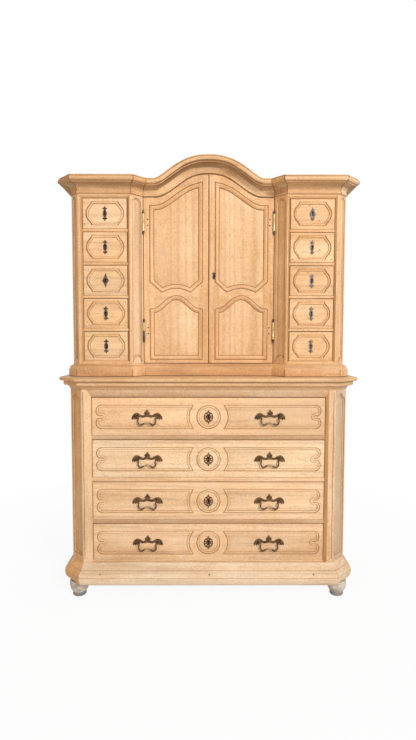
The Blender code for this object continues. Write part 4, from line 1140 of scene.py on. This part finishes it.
def tower_frame(side, sign):
    """Front of a tower: canted posts and rails with mitred splays round the bank of small drawers."""
    node = f"{side}_tower_frame"
    low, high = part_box(node)
    wide, narrow = max(abs(low.x), abs(high.x)), min(abs(low.x), abs(high.x))
    door_back = high.y
    face, sunk, back = low.y, low.y + TOWER_SPLAY_DEPTH, low.y + TOWER_RAIL_DEPTH
    outer_back = face + wide - TOWER_OUTER
    inner_plan = [(narrow, door_back), (narrow, DOOR_FACE), (TOWER_INNER, face), (SMALL_INNER - TOWER_SPLAY, face)]
    inner_plan += [(SMALL_INNER, sunk), (SMALL_INNER, back)]
    inner_plan += [(SMALL_INNER - INNER_LIP, back), (narrow + INNER_RETURN, door_back)]
    outer_plan = [(SMALL_OUTER, back), (SMALL_OUTER, sunk), (SMALL_OUTER + TOWER_SPLAY, face), (TOWER_OUTER, face)]
    outer_plan += [(wide, outer_back), (wide - OUTER_RETURN, outer_back), (SMALL_OUTER + OUTER_LIP, back)]
    head_plan = inner_plan[:3] + outer_plan[3:] + inner_plan[6:]
    drawers = [f"{side}_drawer_{index}" for index in SMALL_DRAWERS]
    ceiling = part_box(drawers[0])[1].z + DRAWER_TOP_GAP
    rails = rail_heights(drawers, low.z)
    sill = rails[-1][1]
    head = ceiling + TOWER_SPLAY + TOWER_HEAD_RISE
    top_end = [(back, ceiling), (sunk, ceiling), (face, ceiling + TOWER_SPLAY), (face, head), (back, head)]
    foot_end = [(back, sill), (sunk, sill), (face, sill - TOWER_SPLAY), (face, low.z), (back, low.z)]
    span = sorted((sign * TOWER_INNER, sign * TOWER_OUTER))

    def post_tone(centre, normal):
        # Painted shade: the splays round the small drawers take the splay shade
        if abs(normal.x) > 0.4 and TOWER_INNER < abs(centre.x) < TOWER_OUTER:
            return 3
        # Painted shade and light: left-facing cants take the shaded cant oak, right-facing ones the lit cant oak
        if abs(normal.x) > 0.4 and normal.y < -0.2:
            lean = math.copysign(1, normal.x)
            corner = sign * (TOWER_OUTER if lean == sign else TOWER_INNER)
            field = sunk_below(centre, (corner, face, 0), (lean * DIAGONAL, -DIAGONAL, 0))
            return (1 if lean < 0 else 4) if field or lean != sign else 0
        return 0

    top_rail = sawn(f"{side}_tower_top_rail", top_end, "X", *span, TOWER_EASE)
    foot_rail = sawn(f"{side}_tower_foot_rail", turned_left(foot_end), "X", *span, TOWER_EASE)
    parts = []
    posts = (("inner", inner_plan, SMALL_INNER, 1, 1), ("outer", outer_plan, SMALL_OUTER, -1, 3))
    for name, plan, edge, lean, cant in posts:
        post = sawn(f"{side}_tower_{name}_post", turned_left(plan, sign), "Z", low.z, head, TOWER_EASE)
        for rail, level, rise in ((top_rail, ceiling, 1), (foot_rail, sill, -1)):
            mitred(post, rail, (sign * edge, 0, level), (sign * lean, 0, rise))
        first, second = plan[cant:cant + 2]
        half = (Vector(second) - Vector(first)).length / 2 - TOWER_PANEL_MARGIN
        middle = (sign * (first[0] + second[0]) / 2, (first[1] + second[1]) / 2, 0)
        sunk_foot, sunk_head = tongued(half, low.z + TOWER_PANEL_FOOT), arched(half, ceiling + TOWER_PANEL_HEAD)
        cant_panel(post, (-sign * lean * DIAGONAL, -DIAGONAL, 0), middle, sunk_foot, sunk_head, TOWER_SUNK)
        parts.append(paint(post, [upper_upright, upper_shaded_cant, groove_oak, splay_shade, upper_lit_cant], post_tone))
    parts += [paint(top_rail, [upper_rail]), paint(foot_rail, [upper_rail])]
    xs = sorted((sign * SMALL_INNER, sign * SMALL_OUTER))
    for number, (foot, top) in enumerate(rails[:-1], 1):
        strip = board(f"{side}_tower_rail_{number}", (xs[0], sunk, foot), (xs[1], back, top))
        parts.append(paint(strip, [upper_rail]))
    block = sawn(f"{side}_tower_head", turned_left(head_plan, sign), "Z", head, high.z, TOWER_HEAD_EASE)
    parts.append(paint(block, [upper_rail]))
    carry(joined(f"{side}_tower_front", parts), CABINET, node, slot="upper_oak")


def cornice_profile(height, reach):
    """Cornice as reach and rise: foot bead, hollow, soffit, rounded nose and a thin top fillet."""
    bead = arc((0.0030, 0.0045), 0.0045, 0.0045, -90, 90, 6)
    turns = [i * math.pi / 16 for i in range(9)]
    hollow = [(0.034 - 0.0315 * math.cos(t), 0.0112 + 0.0325 * math.sin(t)) for t in turns]
    nose = arc((reach - 0.0115, height - 0.0175), 0.0115, 0.0120, -90, 90, 10)
    fillet = [(reach - 0.0095, height - 0.0050), (reach - 0.0070, height - 0.0045), (reach - 0.0070, height)]
    edge = [(0, 0)] + bead + [(0.0025, 0.0092)] + hollow + [(0.0435, 0.0440), (0.0445, 0.0470)]
    return edge + nose + fillet + [(0, height)]


ARCH_RINGS = 60
ARCH_CLEAR = 0.006
CORNICE_MITRE_RADIUS = 0.0014
PLINTH_MITRE_RADIUS, PLINTH_MITRE_SINK = 0.0011, 0.0004
PLINTH_MITRE_FOOT, PLINTH_MITRE_HEAD = 0.001, 0.036
UPPER_SHADOW_LINE_PROUD, UPPER_SHADOW_LINE_FOOT, UPPER_SHADOW_LINE_HEAD = 0.0003, 0.0002, 0.0024
SLOPE_STEP = 0.0005


def dress_cornice():
    """Cornice round the towers and over the arch, mitred at each corner."""
    low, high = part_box("cornice")
    tower_low, tower_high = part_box("right_tower_frame")
    reach = tower_low.y - low.y
    profile = cornice_profile(high.z - arch_height(0), reach)
    tower_rings = corner_rings(profile, tower_path(high.y) + [(0, DOOR_FACE)], SPRINGING)[:-1]
    first = tower_low.x - reach * math.tan(math.pi / 8) - ARCH_CLEAR
    arch_rings = []
    for i in range(ARCH_RINGS + 1):
        x = first * (1 - 2 * i / ARCH_RINGS)
        slope = (arch_height(x + SLOPE_STEP) - arch_height(x - SLOPE_STEP)) / (2 * SLOPE_STEP)
        along = math.hypot(1, slope)
        level = arch_height(x)
        arch_rings.append([(x - slope * up / along, DOOR_FACE - out, level + up / along) for out, up in profile])
    left_rings = [[(-x, y, z) for x, y, z in ring] for ring in tower_rings]
    crown = swept("carved_cornice", tower_rings + arch_rings + left_rings[::-1])

    def tone(centre, normal):
        on_tower = abs(centre.x) > tower_low.x
        if abs(normal.x) > 0.3 and centre.y > tower_high.y:
            return 6
        # Painted shade under the nose and cove: pale groove brown on the towers, a darker brown over the arch
        if normal.z < (-0.75 if on_tower else -0.6):
            return 2 if abs(centre.x) > ARCH_HALF else 3
        # Painted shade on the towers' left-facing faces, painted light on the right tower's right-facing ones
        if on_tower and normal.y < -0.2 and normal.x < -0.45:
            return 4 if centre.x < 0 or normal.z < 0.1 else 1
        return 5 if on_tower and centre.x > 0 and normal.y < -0.2 and normal.x > 0.45 else 0

    paint(crown, [crown_oak, upper_shaded_cant, pale_groove_and_shade, crown_under_shade, splay_shade, upper_lit_cant, upper_deep], tone)
    carry(crown, CABINET, "cornice", slot="upper_oak")
    lines = []
    for ring in tower_rings[1:] + left_rings[1:]:
        line = [(*point, 1) for point in ring[2:-3:2]]
        lines.append(rod(f"cornice_mitre_{len(lines)}", line, CORNICE_MITRE_RADIUS))
    carry(paint(joined("cornice_mitres", lines), [seam_brown]), CABINET, slot="upper_oak")


def dress_upper_case():
    """Plinth, towers, sides, inner boards and cornice of the upper case."""
    plinth = refined("upper_plinth", "upper_case_plinth")
    low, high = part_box("upper_plinth")
    tower_low, tower_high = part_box("right_tower_frame")

    def tone(centre, normal):
        if abs(normal.x) > 0.4 and centre.y > tower_high.y:
            return 3
        # Painted shade on left-facing cants; painted light, with the paler upright oak, on right-facing ones
        return (1 if normal.x < 0 else 2) if abs(normal.x) > 0.4 and normal.y < -0.2 else 0

    paint(plinth, [upper_foot, upper_shaded_cant, upper_upright, upper_deep], tone)
    carry(plinth, CABINET, "upper_plinth", slot="upper_oak")
    reach = tower_low.y - low.y
    path = both_sides(tower_path(high.y))
    # Painted shade: a thin dark strip along the plinth's foot stands in for the shadow where it meets the chest top
    seam = line_profile(reach, UPPER_SHADOW_LINE_PROUD, UPPER_SHADOW_LINE_FOOT, UPPER_SHADOW_LINE_HEAD)
    lines = [swept("upper_plinth_shadow_line", corner_rings(seam, path, low.z))]
    for number, ring in enumerate(corner_rings([(reach - PLINTH_MITRE_SINK, 0)], path, low.z)[1:-1]):
        x, y, z = ring[0]
        line = [(x, y, z + PLINTH_MITRE_FOOT, 1), (x, y, z + PLINTH_MITRE_HEAD, 1)]
        lines.append(rod(f"plinth_mitre_{number}", line, PLINTH_MITRE_RADIUS))
    carry(paint(joined("upper_plinth_seams", lines), [seam_brown]), CABINET, slot="upper_oak")
    for side, sign in SIDES.items():
        tower_frame(side, sign)
        wall = paint(refined(f"upper_{side}_side", f"upper_case_{side}_side"), [upper_upright])
        carry(wall, CABINET, f"upper_{side}_side", slot="upper_oak")
        frame["nodes"][f"{side}_tower_partition"].material_slots[0].material = inner_deep
    for node, finish in (("cupboard_shelf", inner_oak), ("roof_board", inner_oak), ("arch_header", upper_rail)):
        frame["nodes"][node].material_slots[0].material = finish
    dress_cornice()


# Small drawers

CARTOUCHE_HALF_WIDTH = 0.0665
CARTOUCHE_HALF_HEIGHT = 0.0605
CARTOUCHE_BULGE = 0.0280
CARTOUCHE_SKEW = 1.4
CARTOUCHE_STEPS = 16
SMALL_CARVING = [(0.0044, -0.0040, 1), (0.0018, 0.0046, 0), (0.0030, 0.0018, 0), (0.0030, -0.0014, 0),
                 (0.0016, -0.0048, 2), (0.0012, 0.0010, 0)]
SMALL_THICKNESS, SMALL_EASE = 0.018, 0.0028
ODD_PLATES = {"left_drawer_3": LOZENGE_HALF, "right_drawer_1": LEAF_HALF}
# Cracks in the small drawers, as two ends in millimetres across and up from the middle, and a half thickness
CRACKS = {
    "left_drawer_2": [(-42, -15, -14, -16, 1.3)],
    "left_drawer_4": [(-26, 56, -13, 43, 1.0), (26, 56, 38, 48, 0.9), (13, -18, 43, -14, 1.0)],
    "right_drawer_2": [(-66, -22, -12, -22, 1.5), (10, -20, 44, -16, 1.5)],
    "right_drawer_4": [(-28, -17, -18, -17, 0.8), (25, -17, 37, -17, 0.9)],
}
# Nail dots in the small drawers, in millimetres across and up from the middle
DOTS = {
    "left_drawer_1": [(-100, -50)],
    "left_drawer_4": [(99, 56), (101, 8), (-92, -43), (101, -46)],
    "right_drawer_1": [(-17, 41), (32, -31)],
    "right_drawer_2": [(-97, 58), (-98, -58), (38, -10), (95, -58)],
    "right_drawer_3": [(-19, 40)],
}
# Heights and widths, in millimetres, up to which marks lie in the sunk field
CRACK_FIELD_HEIGHT, DOT_FIELD_WIDTH, DOT_FIELD_HEIGHT = 40, 60, 44
CRACK_BEND, CRACK_SINK = 0.001, 0.6
DOT_HEAD = [(0.0026, -0.001), (0.0026, 0.0003), (0.0014, 0.0006)]


def cartouche():
    """Field of a small drawer: straight above and below, with round sides that turn in at their ends."""
    right = []
    for i in range(CARTOUCHE_STEPS + 1):
        share = -1 + 2 * i / CARTOUCHE_STEPS
        bulge = CARTOUCHE_BULGE * swell(abs(share) ** CARTOUCHE_SKEW)
        right.append((CARTOUCHE_HALF_WIDTH + bulge, CARTOUCHE_HALF_HEIGHT * share))
    return both_sides(right)


def age_small_drawer(node, middle, field):
    """Dark cracks and nail dots in the face of a small drawer."""
    marks = []
    for u, v, end_u, end_v, half in CRACKS.get(node, ()):
        bend = ((u + end_u) / 2 * MM, 0, (v + end_v) / 2 * MM + CRACK_BEND, 1)
        points = [(u * MM, 0, v * MM, 0.5), bend, (end_u * MM, 0, end_v * MM, 0.6)]
        level = middle if abs(v) > CRACK_FIELD_HEIGHT else field
        sunk = level + Vector((0, half * MM * CRACK_SINK, 0))
        marks.append(rod(f"{node}_crack_{len(marks)}", points, half * MM, sunk))
    for u, v in DOTS.get(node, ()):
        level = field if abs(u) < DOT_FIELD_WIDTH and abs(v) < DOT_FIELD_HEIGHT else middle
        marks.append(turned(f"{node}_dot_{len(marks)}", DOT_HEAD, level + Vector((u * MM, 0, v * MM)), 10, axis="Y"))
    if marks:
        carry(paint(joined(f"{node}_age_marks", marks), [seam_brown]), node, slot="upper_oak")


def dress_small_drawers():
    """Small drawers: carved fronts, boxes and iron keyhole plates."""
    for side in SIDES:
        for index in SMALL_DRAWERS:
            node = f"{side}_drawer_{index}"
            low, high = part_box(node)
            inside = low.y + SMALL_THICKNESS
            front = board(f"{node}_carved_front", low, (high.x, inside, high.z), SMALL_EASE)
            middle = Vector(((low.x + high.x) / 2, low.y, (low.z + high.z) / 2))
            carving = (cartouche(), SMALL_CARVING, 0)
            carve_into(front, FORWARDS, lambda u, v: (middle.x + u, middle.y, middle.z + v), [carving])
            wood = small_oak[2 if side == "right" and index % 2 else index % 2]
            paint(front, [wood, groove_oak, pale_groove_and_shade], dark_ends(middle.x, (high.x - low.x) / 2))
            soften_runs(front, 1, 0)
            carry(front, node, node, slot="upper_oak")
            field = middle + Vector((0, depth_of(SMALL_CARVING), 0))
            age_small_drawer(node, middle, field)
            box = trimmed(refined(node, f"{node}_box", 0), (0, inside, 0), FORWARDS)
            carry(paint_box(box), node, slot="inner_oak")
            metal = iron if side == "left" else grey_iron
            half = ODD_PLATES.get(node, FLEURON_HALF)
            dress_keyhole(node, node, metal, field, half, hole=(10, 20), thickness=0.0026,
                          ease=0.0005, plug=(11, 22), plug_thickness=0.0018)


# Doors

DOOR_GAP = 0.003
DOOR_FREE, DOOR_HINGE = 0.0015, 0.328
STILE, TOP_RAIL, BOTTOM_RAIL = 0.053, 0.061, 0.041
SIGHT_INNER, SIGHT_OUTER = DOOR_FREE + STILE, DOOR_HINGE - STILE
SIGHT_MIDDLE, SIGHT_HALF = (SIGHT_INNER + SIGHT_OUTER) / 2, (SIGHT_OUTER - SIGHT_INNER) / 2
LOWER_SIDE, LOWER_RISE, MIDDLE_RAIL = 0.214, 0.065, 0.081
HUMP, SHOULDER, SHOULDER_RUN = 0.016, 0.036, 0.041
MOULDING = 0.0245
DOOR_MOULDING = [(0.0026, -0.0034, 3), (0.0022, 0.0050, 0), (0.0042, 0.0018, 0), (0.0045, -0.0012, 0),
                 (0.0075, -0.0056, 0), (0.0022, -0.0044, 3), (0.0013, 0.0006, 3)]
BACK_RECESS = [(0.0015, -0.003, 3)]
BEAD_X, BEAD_RADIUS = 0.0065, 0.0052
BEAD_FOOT, BEAD_MIDDLE, BEAD_HEAD = 0.002, 1.6, 0.006


def upper_sight(foot):
    """Upper panel of the right door: ogee head, notched foot with a low hump."""
    tip = foot + BOTTOM_RAIL + LOWER_SIDE + LOWER_RISE + MIDDLE_RAIL - HUMP
    reach = SIGHT_MIDDLE - SIGHT_INNER - SHOULDER_RUN
    shares = [i / 5 - 1 for i in range(11)]
    outline = [(SIGHT_INNER, tip + SHOULDER)]
    outline += [(SIGHT_MIDDLE + share * reach, tip + HUMP * (1 - share ** 2)) for share in shares]
    outline.append((SIGHT_OUTER, tip + SHOULDER))
    head = [SIGHT_OUTER + (SIGHT_INNER - SIGHT_OUTER) * i / 18 for i in range(19)]
    return outline + [(x, arch_height(x) - DOOR_GAP - TOP_RAIL) for x in head]


def lower_sight(foot):
    """Lower panel of the right door, with an arched head."""
    sill = foot + BOTTOM_RAIL
    outline = [(SIGHT_INNER, sill), (SIGHT_OUTER, sill)]
    for i in range(19):
        share = 1 - i / 9
        outline.append((SIGHT_MIDDLE + share * SIGHT_HALF, sill + LOWER_SIDE + LOWER_RISE * swell(share)))
    return outline


def dress_door(side, sign):
    """A door: frame with moulded, sunk panels and, on the right one, a bead that covers the seam."""
    node, body = f"{side}_door_frame", f"{side}_door"
    low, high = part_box(node)
    foot, back = low.z, high.y
    top = [DOOR_HINGE + (DOOR_FREE - DOOR_HINGE) * i / 30 for i in range(31)]
    outline = [(DOOR_FREE, foot), (DOOR_HINGE, foot)] + [(x, arch_height(x) - DOOR_GAP) for x in top]
    door = sawn(f"{side}_door_oak", turned_left(outline, sign), "Y", back, DOOR_FACE)
    panels = [turned_left(sight, sign) for sight in (upper_sight(foot), lower_sight(foot))]
    carvings = [(grown(panel, MOULDING), DOOR_MOULDING, 2) for panel in panels]
    carve_into(door, FORWARDS, lambda u, v: (u, DOOR_FACE, v), carvings)
    backs = [(turned_left(panel, -1), BACK_RECESS, 2) for panel in panels]
    carve_into(door, BACKWARDS, lambda u, v: (-u, back, v), backs)
    stiles = (sign * SIGHT_INNER, sign * SIGHT_OUTER)
    split_across(door, stiles)

    def tone(centre, normal):
        # Painted shade: left-facing slopes of the mouldings take the shaded cant oak
        if normal.x < -0.35 and normal.y < -0.1:
            return 4
        return 1 if min(stiles) < centre.x < max(stiles) else 0

    paint(door, [upper_upright, upper_rail, upper_panel, groove_oak, upper_shaded_cant], tone)
    carry(door, body, node, f"{side}_door_upper_panel", f"{side}_door_lower_panel", slot="upper_oak")
    if sign > 0:
        levels = (foot + BEAD_FOOT, BEAD_MIDDLE, arch_height(0) - BEAD_HEAD)
        bead = rod("door_seam_bead", [(BEAD_X, DOOR_FACE, z, 1) for z in levels], BEAD_RADIUS)
        carry(paint(bead, [upper_upright]), body, slot="upper_oak")


HINGE_Y = -0.1425
HINGE_RADIUS = 0.0048
HINGE_LEAF = (0.3293, 0.3307)
HINGE_BUD = [(0.0044, 0), (0.0056, 0.002), (0.0036, 0.004), (0.0050, 0.007), (0.0042, 0.011), (0.0030, 0.014),
             (0.0038, 0.016), (0.0012, 0.0185)]
HINGE_NECK, HINGE_END = 0.86, 0.8
HINGE_FOOT, HINGE_HEAD = 0.010, 0.004
KNUCKLE_END, KNUCKLE_EASE, KNUCKLE_GAP_HALF = 0.001, 0.0012, 0.0003
LEAF_FRONT, LEAF_BACK, LEAF_MARGIN, LEAF_EASE = 0.001, 0.030, 0.002, 0.0003
HINGE_NAILS = (-0.014, 0.016)
HINGE_NAIL_INSET = 0.021
HINGE_NAIL_HEAD = [(0.0036, 0), (0.0036, 0.0006), (0.0024, 0.0016), (0.0008, 0.002)]


def dress_hinges():
    """Barrel hinges: the case half with its leaf, the knuckle on the door, dark finials and nail heads."""
    wide, neck, end_radius = HINGE_RADIUS, HINGE_RADIUS * HINGE_NECK, HINGE_RADIUS * HINGE_END
    for side, sign in SIDES.items():
        door = f"{side}_door"
        xs = sorted(sign * x for x in HINGE_LEAF)
        x, y = sign * DOOR_HINGE, HINGE_Y
        for level in ("lower", "upper"):
            node = f"hinge_{side}_{level}"
            low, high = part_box(node)
            metal = dark_brass if node == "hinge_left_lower" else hinge_brass
            start, end = low.z + HINGE_FOOT, high.z - HINGE_HEAD
            middle = (start + end) / 2
            lower = [(end_radius, start), (wide, start + KNUCKLE_END), (wide, middle - KNUCKLE_EASE),
                     (neck, middle - KNUCKLE_GAP_HALF)]
            upper = [(neck, middle + KNUCKLE_GAP_HALF), (wide, middle + KNUCKLE_EASE), (wide, end - KNUCKLE_END),
                     (end_radius, end)]
            barrel = turned(f"{node}_barrel", lower, (x, y, 0), 20)
            leaf = board(f"{node}_leaf", (xs[0], y + LEAF_FRONT, start + LEAF_MARGIN),
                         (xs[1], y + LEAF_BACK, middle - LEAF_MARGIN), LEAF_EASE)
            case_half = joined(f"{node}_case_half", [paint(barrel, [metal]), paint(leaf, [metal])])
            carry(case_half, CABINET, node, slot="hinge_brass")
            knuckle = turned(f"{node}_knuckle", upper, (x, y, 0), 20)
            carry(paint(knuckle, [hinge_brass]), door, slot="hinge_brass")
            tip = turned(f"{node}_top_finial", HINGE_BUD, (x, y, end), 16)
            carry(paint(tip, [dark_brass]), door, slot="hinge_brass")
            tail = turned(f"{node}_foot_finial", [(r, -z) for r, z in HINGE_BUD], (x, y, start), 16)
            carry(paint(tail, [dark_brass]), CABINET, slot="hinge_brass")
            for rise in HINGE_NAILS:
                spot = (x - sign * HINGE_NAIL_INSET, DOOR_FACE, middle + rise)
                nail = turned(f"{node}_nail_{rise}", HINGE_NAIL_HEAD, spot, 12, axis="Y")
                carry(paint(nail, [iron]), door, slot="pull_bronze")


DOOR_KEYHOLE = (0.0265, DOOR_FACE, 1.622)

dress_feet()
dress_chest_case()
chest_frame()
dress_backs()
dress_long_drawers()
dress_upper_case()
dress_small_drawers()
for door_side, door_sign in SIDES.items():
    dress_door(door_side, door_sign)
dress_hinges()
dress_keyhole("door", "right_door", iron, DOOR_KEYHOLE, DOOR_PLATE_HALF, hole=(6, 13), thickness=0.0022,
              ease=0.0005, plug=(7, 14.5), plug_thickness=0.0015)


# Studio

IMAGE_HEIGHT = 740
FOCAL_PIXELS = 480
SENSOR = 36.0
CAMERA_AT = (-0.0139, -2.5887, 1.3015)
YAW, PITCH, ROLL = 0.0045, 0.0628, 0.0017
WHITE = (1, 1, 1, 1)
# Name, place, aim, size and power of each lamp
LAMPS = (
    ("key", (3.6, -6.6, 5.2), (0, -0.1, 1.1), 2.2, 530),
    ("fill", (-4.6, -6.4, 2.0), (0, -0.1, 1.0), 4.0, 100),
)


def white_to_the_eye(nodes):
    """Factor that is 1 for rays that come straight from the camera or by way of gloss or glass."""
    kinds = ("Camera", "Glossy", "Transmission")
    seen, gloss, glass = (nodes.node("ShaderNodeLightPath", output=f"Is {kind} Ray") for kind in kinds)
    return seen.sum("MAXIMUM", seen.sum("MAXIMUM", seen, gloss), glass)


def build_studio():
    """Pale floor, soft light and the camera."""
    scene = bpy.context.scene
    scene.view_settings.view_transform = "Standard"
    bpy.ops.object.select_all(action="DESELECT")
    bpy.ops.mesh.primitive_plane_add(size=30, location=(0, 6, 0))
    floor = settle(bpy.context.object, "floor")
    paper = Finish("floor_paper")
    floor.data.materials.append(paper.set(colour=(0.86, 0.86, 0.86, 1), roughness=0.9))
    here = paper.node("ShaderNodeTexCoord", output="Object")
    far = paper.node("ShaderNodeVectorMath", {"operation": "LENGTH"}, {0: here}, output="Value")
    reach = {"Value": far, "From Min": 0.8, "From Max": 2.4, "To Min": 0.93, "To Max": 1.0}
    fade = paper.node("ShaderNodeMapRange", None, reach)
    glow = paper.node("ShaderNodeEmission", None, {"Color": WHITE})
    paper.cover(glow, white_to_the_eye(paper) * fade)

    scene.world = bpy.data.worlds.new("studio")
    air = Nodes(scene.world, "Background", "World Output")
    air.feed(air.shader.inputs["Color"], (1, 0.985, 0.965, 1))
    air.feed(air.shader.inputs["Strength"], 0.30)
    white = air.node("ShaderNodeBackground", None, {"Color": WHITE, "Strength": 1.0})
    air.cover(white, white_to_the_eye(air))

    for name, place, aim, size, power in LAMPS:
        lamp = bpy.data.lights.new(name, "AREA")
        lamp.size, lamp.energy = size, power
        holder = linked(name, lamp)
        holder.location = place
        holder.rotation_euler = (Vector(aim) - Vector(place)).to_track_quat("-Z", "Y").to_euler()

    camera = bpy.data.cameras.new("camera")
    camera.sensor_width = SENSOR
    camera.lens = FOCAL_PIXELS * SENSOR / IMAGE_HEIGHT
    scene.camera = linked("camera", camera)
    scene.camera.location = CAMERA_AT
    scene.camera.rotation_euler = (math.pi / 2 - PITCH, -ROLL, -YAW)


build_studio()
